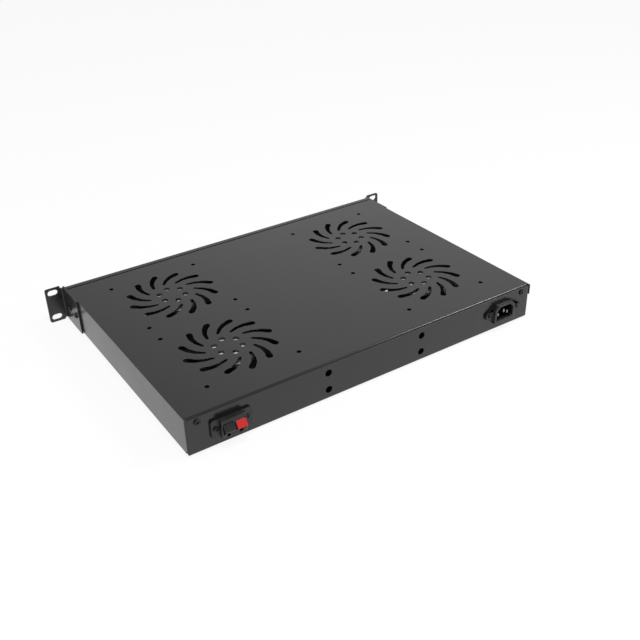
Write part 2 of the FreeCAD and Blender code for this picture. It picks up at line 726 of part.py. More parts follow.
def panel_fasteners(mid, pitch, flange):
    """The two screws of a part flanged to the rear panel, and their nuts inside."""
    screws, nuts = [], []
    length = flange + SHEET + M3_NUT_H + SCREW_END
    for side in (-1, 1):
        x = mid.x + side * pitch / 2
        screws.append(screw(V(x, REAR + flange, mid.z), BACK, M3_R, M3_HEAD_R,
                            M3_HEAD_H, length))
        nuts.append(nut(V(x, REAR - SHEET, mid.z), -BACK, M3_NUT_AF, M3_NUT_H,
                        M3_R + NUT_FIT))
    return solids_of(screws), solids_of(nuts)


# ---- fan -----------------------------------------------------------------------------------


def fan_flange(z0):
    half = FAN_SIZE / 2
    corner = FAN_CORNER
    points = [V(half, half - corner, z0), V(half - corner, half, z0)]
    outline = []
    for angle in around(4):
        turn = FreeCAD.Rotation(UP, angle)
        outline += [turn.multVec(p) for p in points]
    return prism(outline, V(0, 0, FAN_FLANGE))


def fan_frame():
    """Moulded frame: two square flanges on an eight-sided duct, struts and the motor plate."""
    duct_r = across(FAN_BORE_R + FAN_DUCT_WALL, DUCT_SIDES)
    duct = placed(many_sided(duct_r, DUCT_SIDES, FLOOR, FAN_TOP), 0, 0, 0, 180 / DUCT_SIDES)
    shell = fuse([duct, fan_flange(FLOOR), fan_flange(FAN_TOP - FAN_FLANGE)])
    tools = [many_sided(across(FAN_BORE_R, BORE_SIDES), BORE_SIDES, FLOOR - PAST,
                        FAN_TOP + PAST)]
    for hole in fan_fixings(0, 0):
        tools.append(drill(hole + V(0, 0, FLOOR - PAST), UP, FAN_HOLE_D / 2,
                           FAN_DEPTH + 2 * PAST, SCREW_SIDES))
    shell = cut_all(shell, tools)
    plate = many_sided(MOTOR_PLATE_R, CUP_SIDES, FLOOR, MOTOR_PLATE_TOP)
    tube = many_sided(BEARING_TUBE_R, TUBE_SIDES, FLOOR, BEARING_TUBE_TOP)
    pieces = [shell, plate, tube]
    for angle in around(STRUTS, STRUT_START):
        strut = box(MOTOR_PLATE_R - STRUT_T, -STRUT_WIDTH / 2, FLOOR, FAN_BORE_R + FAN_DUCT_WALL / 2,
                    STRUT_WIDTH / 2, FLOOR + STRUT_T)
        pieces.append(placed(strut, 0, 0, 0, angle))
    bore = many_sided(BEARING_R + NUT_FIT, TUBE_SIDES, MOTOR_PLATE_TOP, BEARING_TUBE_TOP + PAST)
    return fuse(pieces).cut(bore)


def stator():
    """Crossed pole stack with its wound arms, pushed over the bearing tube."""
    z0 = MOTOR_PLATE_TOP + STATOR_GAP / 2
    arms = []
    for angle in (0, 90):
        arm = box(-STATOR_R, -STATOR_ARM / 2, z0, STATOR_R, STATOR_ARM / 2, z0 + STATOR_H)
        arms.append(placed(arm, 0, 0, 0, angle))
    bore = many_sided(BEARING_TUBE_R + NUT_FIT, TUBE_SIDES, z0, z0 + STATOR_H)
    return fuse(arms).cut(bore)


def bearing():
    """Sintered sleeve that fills the bearing tube and runs on the shaft."""
    length = BEARING_TUBE_TOP - MOTOR_PLATE_TOP
    sleeve = many_sided(BEARING_R, TUBE_SIDES, MOTOR_PLATE_TOP, BEARING_TUBE_TOP)
    return sleeve.cut(drill(V(0, 0, MOTOR_PLATE_TOP), UP, SHAFT_R + RUN_FIT, length, SHAFT_SIDES))


def rotor():
    """Steel rotor cup over the stator with the shaft pressed into its top."""
    shoulder = CUP_TOP - CUP_EDGE
    top = [Part.makePolygon([p + V(0, 0, z) for p in ngon(r, CUP_SIDES) + ngon(r, CUP_SIDES)[:1]])
           for r, z in ((CUP_R, shoulder), (CUP_R - CUP_EDGE, CUP_TOP))]
    roof = CUP_TOP - CUP_WALL
    cup = many_sided(CUP_R, CUP_SIDES, CUP_BOTTOM, shoulder)
    cup = cup.fuse(Part.makeLoft(top, True, True))
    cup = cup.cut(many_sided(CUP_R - CUP_WALL, CUP_SIDES, CUP_BOTTOM, roof))
    shaft_end = MOTOR_PLATE_TOP + SHAFT_END_GAP
    return fuse([cup, many_sided(SHAFT_R, SHAFT_SIDES, shaft_end, roof)])


def blade_section(radius, chord, height, z_mid):
    """Cambered strip section square to a radius: leading edge low, trailing edge high."""
    slope = V(0, chord / 2, height / 2)
    normal = V(0, -height, chord).normalize()
    middle = V(radius, 0, z_mid)
    camber = []
    for k in range(BLADE_SPANS + 1):
        along = 2 * k / BLADE_SPANS - 1
        camber.append(middle + slope * along + normal * (BLADE_CAMBER * (1 - along * along)))
    half = normal * (BLADE_T / 2)
    return [p + half for p in camber] + [p - half for p in reversed(camber)]


def flat_face(points):
    return Part.Face(Part.makePolygon(points + points[:1]))


def facetted(root, tip):
    """Twisted solid between two outlines of as many corners, with flat triangles for sides."""
    faces = [facet for k in range(len(root)) for facet in
             (flat_face([root[k - 1], root[k], tip[k]]),
              flat_face([root[k - 1], tip[k], tip[k - 1]]))]
    half = len(root) // 2
    for outline in (root, tip):
        for k in range(half - 1):
            faces.append(flat_face([outline[k], outline[k + 1], outline[-k - 2], outline[-k - 1]]))
    return Part.Solid(Part.Shell(faces))


def impeller():
    """Moulded ring with twisted blades, pushed over the rotor cup."""
    z_mid = CUP_BOTTOM + BLADE_RISE
    root = blade_section(CUP_R + SLEEVE_WALL / 2, BLADE_CHORD_ROOT, BLADE_H_ROOT, z_mid)
    tip = blade_section(FAN_BORE_R, BLADE_CHORD_TIP, BLADE_H_TIP, z_mid)
    tip_r = FAN_BORE_R - BLADE_TIP_GAP
    blade = facetted(root, tip).common(many_sided(tip_r, BORE_SIDES, FLOOR, FAN_TOP))
    ring = many_sided(SLEEVE_R, CUP_SIDES, CUP_BOTTOM, CUP_TOP - CUP_EDGE)
    ring = fuse([ring] + [placed(blade, 0, 0, 0, angle) for angle in around(BLADES)])
    return ring.cut(many_sided(CUP_R + RUN_FIT, CUP_SIDES, CUP_BOTTOM - PAST,
                               CUP_TOP + PAST))


# ---- mains inlet ---------------------------------------------------------------------------


def inlet_body_size():
    return (INLET_OPEN_W + 2 * INLET_BODY_WALL, INLET_OPEN_H + 2 * INLET_BODY_WALL)


def coupler_outline(width, height, chamfer, y):
    """Coupler opening: a rectangle with its two upper corners cut off."""
    w, h = width / 2, height / 2
    x, z = INLET_MID.x, INLET_MID.z
    return [V(x - w, y, z - h), V(x + w, y, z - h), V(x + w, y, z + h - chamfer),
            V(x + w - chamfer, y, z + h), V(x - w + chamfer, y, z + h),
            V(x - w, y, z + h - chamfer)]


def inlet_flange():
    """Flange with a broad middle and rounded ends round its two screws."""
    x, z, y = INLET_MID.x, INLET_MID.z, REAR
    pitch, r = INLET_SCREW_PITCH / 2, INLET_FLANGE_END_R
    mid, h = INLET_FLANGE_MID, INLET_FLANGE_H / 2
    a = math.radians(INLET_END_ANGLE)
    ends = V(pitch + r * math.cos(a), 0, r * math.sin(a))

    def at(u, w):
        return V(x + u, y, z + w)
    edges = [
        line(at(-mid, h), at(mid, h)),
        line(at(mid, h), at(ends.x, ends.z)),
        arc(at(ends.x, ends.z), at(pitch + r, 0), at(ends.x, -ends.z)),
        line(at(ends.x, -ends.z), at(mid, -h)),
        line(at(mid, -h), at(-mid, -h)),
        line(at(-mid, -h), at(-ends.x, -ends.z)),
        arc(at(-ends.x, -ends.z), at(-pitch - r, 0), at(-ends.x, ends.z)),
        line(at(-ends.x, ends.z), at(-mid, h)),
    ]
    return extrude(edges, V(0, INLET_FLANGE_T, 0))


def pin_places():
    """Earth pin high in the middle, live and neutral low at the sides."""
    z = INLET_MID.z
    half = PIN_PITCH / 2
    return [(INLET_MID.x, z + EARTH_RISE, EARTH_PIN_EXTRA),
            (INLET_MID.x - half, z - LIVE_DROP, 0.0),
            (INLET_MID.x + half, z - LIVE_DROP, 0.0)]


def inlet_housing():
    collar = prism(coupler_outline(INLET_OPEN_W + 2 * INLET_WALL, INLET_OPEN_H + 2 * INLET_WALL,
                                   INLET_RIM_CHAMFER, REAR), V(0, INLET_COLLAR_OUT, 0))
    floor_y = REAR + INLET_COLLAR_OUT - INLET_POCKET
    width, height = inlet_body_size()
    back = prism(coupler_outline(width, height, INLET_OPEN_CHAMFER, floor_y - INLET_BACK),
                 V(0, REAR - floor_y + INLET_BACK + PAST, 0))
    housing = fuse([inlet_flange(), collar, back])
    tools = [prism(coupler_outline(INLET_OPEN_W, INLET_OPEN_H, INLET_OPEN_CHAMFER, floor_y),
                   V(0, INLET_POCKET + PAST, 0))]
    for x, z, _ in pin_places():
        tools.append(centred_box(x, z, PIN_W, PIN_H, floor_y - INLET_BACK - PAST,
                                 floor_y + PAST))
    for side in (-1, 1):
        x = INLET_MID.x + side * INLET_SCREW_PITCH / 2
        tools.append(rear_hole(x, INLET_MID.z, M3_R + NUT_FIT))
    return cut_all(housing, tools)


def inlet_pins():
    """Three flat contact pins, each with a tab behind the housing."""
    pins = []
    floor_y = REAR + INLET_COLLAR_OUT - INLET_POCKET
    for x, z, extra in pin_places():
        tip = REAR + INLET_COLLAR_OUT - PIN_RECESS + extra
        blade = centred_box(x, z, PIN_W, PIN_H, floor_y - INLET_BACK, tip)
        blade = blade.makeChamfer(PIN_CHAMFER, [e for e in blade.Edges
                                                if near(e.CenterOfMass.y, tip)])
        tab = centred_box(x, z, TAG_T, TAG_W, floor_y - INLET_BACK - TAG_LENGTH,
                          floor_y - INLET_BACK)
        pins.append(blade.fuse(tab).removeSplitter())
    return solids_of(pins)


# ---- push terminal -------------------------------------------------------------------------


def terminal_body_size():
    return (TERM_BLOCK_W - 2 * SHEET, TERM_BLOCK_H - 2 * SHEET)


def pole_places():
    return [TERM_MID.x - TERM_POLE_PITCH / 2, TERM_MID.x + TERM_POLE_PITCH / 2]


def lever_outline(x):
    """Side view of a lever: flat top, finger slope down to the tip, and the underside."""
    z = TERM_MID.z
    back = REAR + LEVER_BACK_OUT
    return [V(x, back, z + LEVER_TOP_Z), V(x, REAR + LEVER_TOP_OUT, z + LEVER_TOP_Z),
            V(x, REAR + LEVER_TIP_OUT, z + LEVER_TIP_Z),
            V(x, REAR + LEVER_TIP_OUT, z + LEVER_TIP_Z - LEVER_UNDER),
            V(x, REAR + LEVER_TOP_OUT, z + LEVER_TIP_Z - LEVER_UNDER),
            V(x, back, z + LEVER_TIP_Z)]


def terminal_lever(x):
    body = prism(lever_outline(x - LEVER_W / 2), V(LEVER_W, 0, 0))
    tip = TERM_MID.z + LEVER_TIP_Z
    body = rounded(body, LEVER_ROUND, lambda c: near(c.x, x) and c.y > REAR +
                   LEVER_TOP_OUT + PAST and c.z > tip - 2 * LEVER_UNDER)
    hole = Part.makeCylinder(LEVER_PIN_R + LEVER_PIN_FIT, LEVER_W + 2 * PAST,
                             V(x - LEVER_W / 2 - PAST, *PIVOT), RIGHT)
    return body.cut(hole)


def pin_along_x(radius):
    """A round bar across both lever bays and a little way into the walls beside them."""
    length = TERM_POLE_PITCH + LEVER_W + 2 * (LEVER_FIT + LEVER_PIN_GRIP)
    return Part.makeCylinder(radius, length, V(TERM_MID.x - length / 2, *PIVOT), RIGHT)


def lever_pin():
    """One steel pin through the block that both levers turn on."""
    return pin_along_x(LEVER_PIN_R)


def terminal_block():
    """Moulded body: screw flange, outer block with lever bays and wire holes, inner block."""
    x, z = TERM_MID.x, TERM_MID.z
    flange = centred_box(x, z, TERM_FLANGE_W, TERM_FLANGE_H, REAR, REAR + TERM_FLANGE_T)
    flange = rounded(flange, TERM_FLANGE_R, lambda c: near(abs(c.x - x), TERM_FLANGE_W / 2) and
                     near(abs(c.z - z), TERM_FLANGE_H / 2))
    outer = centred_box(x, z, TERM_BLOCK_W, TERM_BLOCK_H, REAR, REAR + TERM_BLOCK_OUT)
    front_edges = [e for e in outer.Edges if near(e.CenterOfMass.y, REAR + TERM_BLOCK_OUT)]
    outer = outer.makeChamfer(TERM_BLOCK_CHAMFER, front_edges)
    width, height = terminal_body_size()
    inner = centred_box(x, z, width, height, REAR - TERM_BLOCK_IN, REAR + PAST)
    body = fuse([flange, outer, inner])
    tools = []
    for pole in pole_places():
        tools.append(lever_bay(pole))
        wire_end = V(pole, REAR - TERM_BLOCK_IN + SHEET, z - WIRE_HOLE_DROP)
        tools.append(drill(wire_end, BACK, WIRE_HOLE_D / 2, TERM_BLOCK_OUT + TERM_BLOCK_IN,
                           HOLE_SIDES))
        tools.append(contact_slot(pole))
    for side in (-1, 1):
        tools.append(rear_hole(x + side * TERM_SCREW_PITCH / 2, z, M3_R + NUT_FIT))
    tools.append(pin_along_x(LEVER_PIN_R + LEVER_PIN_SEAT))
    return cut_all(body, tools)


def lever_bay(pole):
    """Room in the block for one lever through its whole travel."""
    z = TERM_MID.z
    y0 = REAR + LEVER_BACK_OUT - LEVER_REAR_ROOM
    half = LEVER_W / 2 + LEVER_FIT
    return box(pole - half, y0, z + LEVER_TIP_Z - LEVER_UNDER - LEVER_SWEEP_ROOM, pole + half,
               REAR + TERM_BLOCK_OUT + PAST, z + LEVER_TOP_Z + LEVER_TOP_ROOM)


def contact_slot(pole):
    half = WIRE_HOLE_D / 2 + LEVER_FIT
    z = TERM_MID.z - WIRE_HOLE_DROP + WIRE_HOLE_D / 2
    return box(pole - half, REAR - TERM_BLOCK_IN - PAST, z - TAG_T, pole + half, REAR,
               z + TAG_T / 2)


def terminal_contacts():
    """Brass strips over the wire holes, bent out behind the block as solder tags."""
    strips = []
    half = WIRE_HOLE_D / 2
    z = TERM_MID.z - WIRE_HOLE_DROP + WIRE_HOLE_D / 2
    for pole in pole_places():
        strips.append(box(pole - half, REAR - TERM_BLOCK_IN - TAG_LENGTH, z - TAG_T / 2,
                          pole + half, REAR - LEVER_FIT, z))
    return solids_of(strips)


# ---- front controls ------------------------------------------------------------------------


def button_places():
    return [BODY_MID + (k - (BUTTONS - 1) / 2) * BUTTON_PITCH for k in range(BUTTONS)]


def thermostat_case():
    """Bezel on the front wall with its open-backed case through the cut-out."""
    face = FRONT - THERMO_BEZEL_T
    bezel = centred_box(THERMO_X, BODY_MID, THERMO_BEZEL_W, THERMO_BEZEL_H, face, FRONT)
    bezel = rounded(bezel, THERMO_CORNER, lambda c: near(c.y, FRONT - THERMO_BEZEL_T / 2))
    case = centred_box(THERMO_X, BODY_MID, THERMO_CASE_W, THERMO_CASE_H, FRONT - PAST,
                       FRONT + THERMO_CASE_DEPTH)
    shell = fuse([bezel, case])
    inner_w, inner_h = THERMO_CASE_W - 2 * THERMO_WALL, THERMO_CASE_H - 2 * THERMO_WALL
    tools = [centred_box(THERMO_X, BODY_MID, inner_w, inner_h, FRONT,
                         FRONT + THERMO_CASE_DEPTH + PAST)]
    lens_x = THERMO_X + LENS_X
    tools.append(centred_box(lens_x, BODY_MID, LENS_W, LENS_H, face - PAST, face + LENS_T))
    tools.append(centred_box(lens_x, BODY_MID, LENS_W - 2 * LENS_LEDGE, LENS_H - 2 * LENS_LEDGE,
                             face, FRONT + PAST))
    for z in button_places():
        tools.append(centred_box(THERMO_X + BUTTON_X, z, BUTTON_W + 2 * BUTTON_FIT,
                                 BUTTON_H + 2 * BUTTON_FIT, face - PAST, FRONT + PAST))
    return cut_all(shell, tools)


def display_lens():
    face = FRONT - THERMO_BEZEL_T
    return centred_box(THERMO_X + LENS_X, BODY_MID, LENS_W, LENS_H, face, face + LENS_T)


def thermostat_button(z):
    """Key cap with a retaining flange behind the bezel and a stem towards the board."""
    x = THERMO_X + BUTTON_X
    face = FRONT - THERMO_BEZEL_T
    cap = centred_box(x, z, BUTTON_W, BUTTON_H, face - BUTTON_OUT, FRONT + BUTTON_FIT)
    cap = rounded(cap, BUTTON_ROUND, lambda c: near(c.y, face - BUTTON_OUT))
    collar = centred_box(x, z, BUTTON_W + 2 * BUTTON_FLANGE, BUTTON_H + 2 * BUTTON_FLANGE,
                         FRONT + BUTTON_FIT, FRONT + BUTTON_FIT + BUTTON_FLANGE)
    board = FRONT + BOARD_DEPTH
    stem = centred_box(x, z, BUTTON_STEM, BUTTON_STEM, FRONT + BUTTON_FIT,
                       board - BUTTON_TRAVEL - BUTTON_FIT)
    return fuse([cap, collar, stem])


def thermostat_board():
    """Circuit board across the case, with a relay block on its back."""
    width = THERMO_CASE_W - 2 * THERMO_WALL - 2 * CUTOUT_FIT
    height = THERMO_CASE_H - 2 * THERMO_WALL - 2 * CUTOUT_FIT
    y0 = FRONT + BOARD_DEPTH
    board = centred_box(THERMO_X, BODY_MID, width, height, y0, y0 + BOARD_T)
    relay = centred_box(THERMO_X + RELAY_X, BODY_MID, RELAY_W, RELAY_H, y0 + BOARD_T / 2,
                        FRONT + THERMO_CASE_DEPTH)
    return fuse([board, relay])


def switch_case():
    """Snap-in rocker switch body: bezel, case and the well that the rocker sits in."""
    face = FRONT - SWITCH_BEZEL_T
    bezel = centred_box(SWITCH_X, BODY_MID, SWITCH_BEZEL_W, SWITCH_BEZEL_H, face, FRONT)
    bezel = rounded(bezel, SWITCH_WALL, lambda c: near(c.y, FRONT - SWITCH_BEZEL_T / 2))
    case = centred_box(SWITCH_X, BODY_MID, SWITCH_CASE_W, SWITCH_CASE_H, FRONT - PAST,
                       FRONT + SWITCH_CASE_DEPTH)
    well_w = ROCKER_W + 2 * ROCKER_SWING_ROOM
    well = centred_box(SWITCH_X, BODY_MID, well_w, ROCKER_H + 2 * CUTOUT_FIT, face - PAST,
                       FRONT + ROCKER_DEPTH + 2 * SWITCH_WALL)
    pin_bore = Part.makeCylinder(ROCKER_PIN_R, SWITCH_CASE_H - SWITCH_WALL, rocker_axis() -
                                 V(0, 0, (SWITCH_CASE_H - SWITCH_WALL) / 2))
    return fuse([bezel, case]).cut(well).cut(pin_bore)


def rocker_axis():
    return V(SWITCH_X, FRONT + SWITCH_WALL, BODY_MID)


def rocker():
    """Dished rocker key on its pin, resting tipped to its off side."""
    axis = rocker_axis()
    w, waist, foot = ROCKER_W / 2, ROCKER_WAIST / 2, ROCKER_FOOT / 2
    z0 = BODY_MID - ROCKER_H / 2
    face = FRONT - SWITCH_BEZEL_T - ROCKER_RISE / 2
    back = FRONT + ROCKER_DEPTH

    def at(u, y):
        return V(SWITCH_X + u, y, z0)
    edges = [
        arc(at(-w, face), at(0, face + ROCKER_DISH), at(w, face)),
        line(at(w, face), at(waist, FRONT)),
        line(at(waist, FRONT), at(foot, back)),
        line(at(foot, back), at(-foot, back)),
        line(at(-foot, back), at(-waist, FRONT)),
        line(at(-waist, FRONT), at(-w, face)),
    ]
    key = extrude(edges, V(0, 0, ROCKER_H))
    length = SWITCH_CASE_H - SWITCH_WALL - CUTOUT_FIT
    pin = Part.makeCylinder(ROCKER_PIN_R - RUN_FIT, length, axis - V(0, 0, length / 2))
    key = fuse([key, pin])
    key.rotate(axis, UP, -ROCKER_TILT)
    return key


def switch_tabs():
    """Three tab terminals out of the back of the switch."""
    tabs = []
    y0 = FRONT + SWITCH_CASE_DEPTH
    for k in (-1, 0, 1):
        x = SWITCH_X + k * SWITCH_TAB_PITCH
        tabs.append(centred_box(x, BODY_MID, TAG_T, TAG_W, y0, y0 + TAG_LENGTH))
    return solids_of(tabs)


# ---- the whole tray ------------------------------------------------------------------------


def fan_nodes():
    """Every fan is the same set of pieces, moved to its own place."""
    pieces = {"fan_frame": fan_frame(), "stator": stator(), "bearing": bearing(),
              "rotor_cup": rotor(), "impeller": impeller()}
    nodes = {}
    for number, (x, y) in enumerate(FANS, start=1):
        for name, shape in pieces.items():
            copy = shape.copy()
            copy.translate(V(x, y, 0))
            nodes[f"{name}_{number}"] = copy
    return nodes


def all_nodes():
    ear = rack_ear()
    nodes = {"base_tray": base_tray(), "top_cover": top_cover(), "rack_ear_right": ear,
             "rack_ear_left": mirrored(ear)}
    nodes["ear_screws"], nodes["ear_nuts"] = ear_fasteners()
    nodes["cover_screws"], nodes["cover_nuts"] = cover_fasteners()
    nodes["fan_screws"] = fan_fasteners()
    nodes.update(fan_nodes())
    nodes["inlet_housing"] = inlet_housing()
    nodes["inlet_pins"] = inlet_pins()
    nodes["inlet_screws"], nodes["inlet_nuts"] = panel_fasteners(INLET_MID, INLET_SCREW_PITCH,
                                                                INLET_FLANGE_T)
    nodes["terminal_block"] = terminal_block()
    nodes["terminal_contacts"] = terminal_contacts()
    nodes["red_lever"] = terminal_lever(pole_places()[0])
    nodes["black_lever"] = terminal_lever(pole_places()[1])
    nodes["lever_pin"] = lever_pin()
    nodes["terminal_screws"], nodes["terminal_nuts"] = panel_fasteners(
        TERM_MID, TERM_SCREW_PITCH, TERM_FLANGE_T)
    nodes["thermostat_case"] = thermostat_case()
    nodes["display_lens"] = display_lens()
    nodes["thermostat_board"] = thermostat_board()
    for number, z in enumerate(button_places(), start=1):
        nodes[f"set_button_{number}"] = thermostat_button(z)
    nodes["switch_case"] = switch_case()
    nodes["rocker"] = rocker()
    nodes["switch_tabs"] = switch_tabs()
    return nodes


os.makedirs("parts", exist_ok=True)
for node_name, node_shape in all_nodes().items():
    node_shape.exportStep(f"parts/{node_name}.step")
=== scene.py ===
# %% [markdown]
# # A rack fan tray, dressed for a picture
#
# The real thing is a shallow box of folded and powder-coated sheet steel. It screws into a 19-inch
# rack by the two ears at its front, and four fans lie flat in it and blow air through its vents.
# Its construction comes in ready made, as one mesh for each sub-part, at its real size in metres.
# What is left to do here is what the eye notices: finishes, rounded and pressed details, and light.

# %% Load the construction
import math

import bmesh
import bpy
from mathutils import Matrix, Vector


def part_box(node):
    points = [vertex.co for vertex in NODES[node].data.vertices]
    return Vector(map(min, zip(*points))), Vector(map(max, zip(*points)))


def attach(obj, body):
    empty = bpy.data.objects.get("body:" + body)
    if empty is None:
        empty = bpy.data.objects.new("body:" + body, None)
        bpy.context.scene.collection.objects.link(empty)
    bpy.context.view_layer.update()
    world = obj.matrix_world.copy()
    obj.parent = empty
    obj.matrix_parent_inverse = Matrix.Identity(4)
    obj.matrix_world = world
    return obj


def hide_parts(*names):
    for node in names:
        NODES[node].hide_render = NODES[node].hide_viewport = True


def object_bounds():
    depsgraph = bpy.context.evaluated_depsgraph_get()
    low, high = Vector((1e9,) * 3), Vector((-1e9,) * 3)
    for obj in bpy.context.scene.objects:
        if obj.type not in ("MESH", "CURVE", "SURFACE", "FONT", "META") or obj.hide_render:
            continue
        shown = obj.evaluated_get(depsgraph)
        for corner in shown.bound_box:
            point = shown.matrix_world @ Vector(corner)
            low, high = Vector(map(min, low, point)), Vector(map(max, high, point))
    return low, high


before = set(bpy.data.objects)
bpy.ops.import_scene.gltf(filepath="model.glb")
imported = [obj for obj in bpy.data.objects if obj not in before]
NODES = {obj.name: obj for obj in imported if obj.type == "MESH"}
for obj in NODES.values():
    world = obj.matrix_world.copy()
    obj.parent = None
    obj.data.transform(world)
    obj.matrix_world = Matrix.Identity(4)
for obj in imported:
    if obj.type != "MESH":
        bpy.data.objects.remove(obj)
cad_low, cad_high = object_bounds()
MM = 0.001
FANS = (1, 2, 3, 4)
ROUND_STEPS = 96      # faces round a turned cup, ring or disc
MERGE = 0.002 * MM    # CAD corners closer than this are the same corner
UP = Vector((0, 0, 1))
BACK = Vector((0, 1, 0))
print("loaded", len(NODES), "sub-parts,", round((cad_high.x - cad_low.x) / MM, 1), "mm wide")

# %% [markdown]
# ## The camera
#
# The tray is seen from behind, over its right rear corner, with a lens a little longer than normal,
# so the far ear isn't much smaller than the near one. A camera can be aimed with a constraint, but
# then it can't lean. Here its three axes are worked out from a direction and a lean instead, which
# keeps every angle a plain number.

# %% Place the camera
CAMERA_AZIMUTH = math.radians(146.763)
CAMERA_ELEVATION = math.radians(31.094)
CAMERA_LEAN = math.radians(-1.424)
CAMERA_DISTANCE = 968.409 * MM
CAMERA_TARGET = Vector((2.955, 52.507, 25.2)) * MM
CAMERA_LENS = 48.744


def place_camera():
    """Makes the camera from its direction, lean, distance and lens."""
    back = Vector((math.sin(CAMERA_AZIMUTH) * math.cos(CAMERA_ELEVATION),
                   -math.cos(CAMERA_AZIMUTH) * math.cos(CAMERA_ELEVATION),
                   math.sin(CAMERA_ELEVATION)))
    level = UP.cross(back).normalized()
    aim = Matrix((level, back.cross(level), back)).transposed()
    lean = Matrix.Rotation(CAMERA_LEAN, 3, "Z")
    camera = bpy.data.objects.new("camera", bpy.data.cameras.new("camera"))
    bpy.context.collection.objects.link(camera)
    camera.data.lens = CAMERA_LENS
    camera.matrix_world = (Matrix.Translation(CAMERA_TARGET + back * CAMERA_DISTANCE)
                           @ (aim @ lean).to_4x4())
    bpy.context.scene.camera = camera
    return camera


camera = place_camera()
print("camera at", [round(v, 3) for v in camera.location])

# %% [markdown]
# ## Small tools for materials
#
# A material here is a few nodes. Colours are written as the sRGB hex values that a paint chart gives,
# and one function turns them to the linear numbers that a shader works with. A pattern's scale is
# worked out from the size in millimetres that it has on the real surface.

# %% Colour, scale and node helpers
def linear(hex_colour):
    """An sRGB hex colour as linear red, green, blue and alpha."""
    channels = [int(hex_colour[i:i + 2], 16) / 255 for i in (1, 3, 5)]
    return [c / 12.92 if c <= 0.04045 else ((c + 0.055) / 1.055) ** 2.4 for c in channels] + [1.0]


def per_metre(size_mm):
    """The texture scale that gives a pattern this size."""
    return 1000 / size_mm


def add(tree, kind, inputs=None, **settings):
    """Adds one node. Inputs take a plain value or another node's output."""
    made = tree.nodes.new(kind)
    for name, value in settings.items():
        setattr(made, name, value)
    for name, value in (inputs or {}).items():
        if isinstance(value, bpy.types.NodeSocket):
            tree.links.new(value, made.inputs[name])
        else:
            made.inputs[name].default_value = value
    return made


def new_material(name, **sockets):
    """A material whose shader has these plain values, with its tree, shader and coordinates."""
    made = bpy.data.materials.new(name)
    made.use_nodes = True
    shader = made.node_tree.nodes["Principled BSDF"]
    for socket, value in sockets.items():
        shader.inputs[socket.replace("_", " ")].default_value = value
    place = add(made.node_tree, "ShaderNodeTexCoord").outputs["Object"]
    return made, made.node_tree, shader, place


def wire(tree, shader, tone, gloss, normal=None):
    """Leads a colour, a roughness and, if there is one, a normal to the shader."""
    tree.links.new(tone.outputs["Result"], shader.inputs["Base Color"])
    tree.links.new(gloss.outputs["Result"], shader.inputs["Roughness"])
    if normal:
        tree.links.new(normal.outputs["Normal"], shader.inputs["Normal"])


def paint(material, *names):
    """Gives CAD sub-parts a material."""
    for name in names:
        piece = NODES[name]
        if not piece.material_slots:
            piece.data.materials.append(material)
        for slot in piece.material_slots:
            slot.material = material


print("a mid grey, #808080, is", round(linear("#808080")[0], 4), "in linear light")

# %% [markdown]
# ## Powder-coated steel
#
# The paint is sprayed on dry and baked, so it flows into a glossy skin with a fine orange-peel grain
# and pulls thin over sharp edges. Noise at the grain's size drives the bump, larger noise moves
# colour and roughness a little, as handling does, and a Bevel node finds the edges: where its
# rounded normal leaves the true one, the coat is thin and a shade lighter. The Bevel node also
# gives the folded metal its soft edge without any more faces. Most of what the eye gets from such a
# black coat is the pale room mirrored in its skin, so its shine matters more than its colour. The
# same coat lies on tray, lid and ears.

# %% Powder coat
COAT_GRAIN_MM = 0.9   # really about half of that, drawn coarser so that it shows
COAT_CLOUD_MM = 70
COAT_EDGE_MM = 0.2


def powder_coat():
    """Black baked powder with grain, cloudy spots and thinner edges."""
    coat, tree, shader, place = new_material("black_powder_coat", IOR=1.52)
    cloud = add(tree, "ShaderNodeTexNoise", {"Vector": place, "Scale": per_metre(COAT_CLOUD_MM),
                                             "Detail": 4.0})
    grain = add(tree, "ShaderNodeTexNoise", {"Vector": place, "Scale": per_metre(COAT_GRAIN_MM),
                                             "Detail": 2.0, "Roughness": 0.6})
    rounded = add(tree, "ShaderNodeBevel", {"Radius": COAT_EDGE_MM * MM}, samples=4)
    flat = add(tree, "ShaderNodeNewGeometry")
    turn = add(tree, "ShaderNodeVectorMath", {0: rounded.outputs["Normal"],
                                              1: flat.outputs["Normal"]}, operation="DOT_PRODUCT")
    edge = add(tree, "ShaderNodeMapRange", {"Value": turn.outputs["Value"], "From Min": 0.98,
                                            "From Max": 0.80, "To Min": 0.0, "To Max": 0.15})
    tone = add(tree, "ShaderNodeMix", {"Factor": cloud.outputs["Fac"], "A": linear("#151515"),
                                       "B": linear("#1B1B1B")}, data_type="RGBA")
    worn = add(tree, "ShaderNodeMix", {"Factor": edge.outputs["Result"],
                                       "A": tone.outputs["Result"], "B": linear("#444446")},
               data_type="RGBA")
    gloss = add(tree, "ShaderNodeMapRange", {"Value": cloud.outputs["Fac"], "From Min": 0.3,
                                             "From Max": 0.7, "To Min": 0.20, "To Max": 0.26})
    bump = add(tree, "ShaderNodeBump", {"Height": grain.outputs["Fac"], "Strength": 0.25,
                                        "Distance": 0.03 * MM,
                                        "Normal": rounded.outputs["Normal"]})
    wire(tree, shader, worn, gloss, bump)
    return coat


paint(powder_coat(), "base_tray", "top_cover", "rack_ear_right", "rack_ear_left")
print("painted the sheet metal")

# %% [markdown]
# ## Moulded plastics
#
# Fan frames, impellers, connectors, keys and bezels are injection-moulded. A spark-eroded mould
# leaves a fine even grain, and the flow of the melt shades the colour very slightly. One function
# makes them all: what differs is the colour, the shine and how coarse the grain is.

# %% Moulded plastic
FLOW_MM = 25
MOULD_EDGE_MM = 0.2


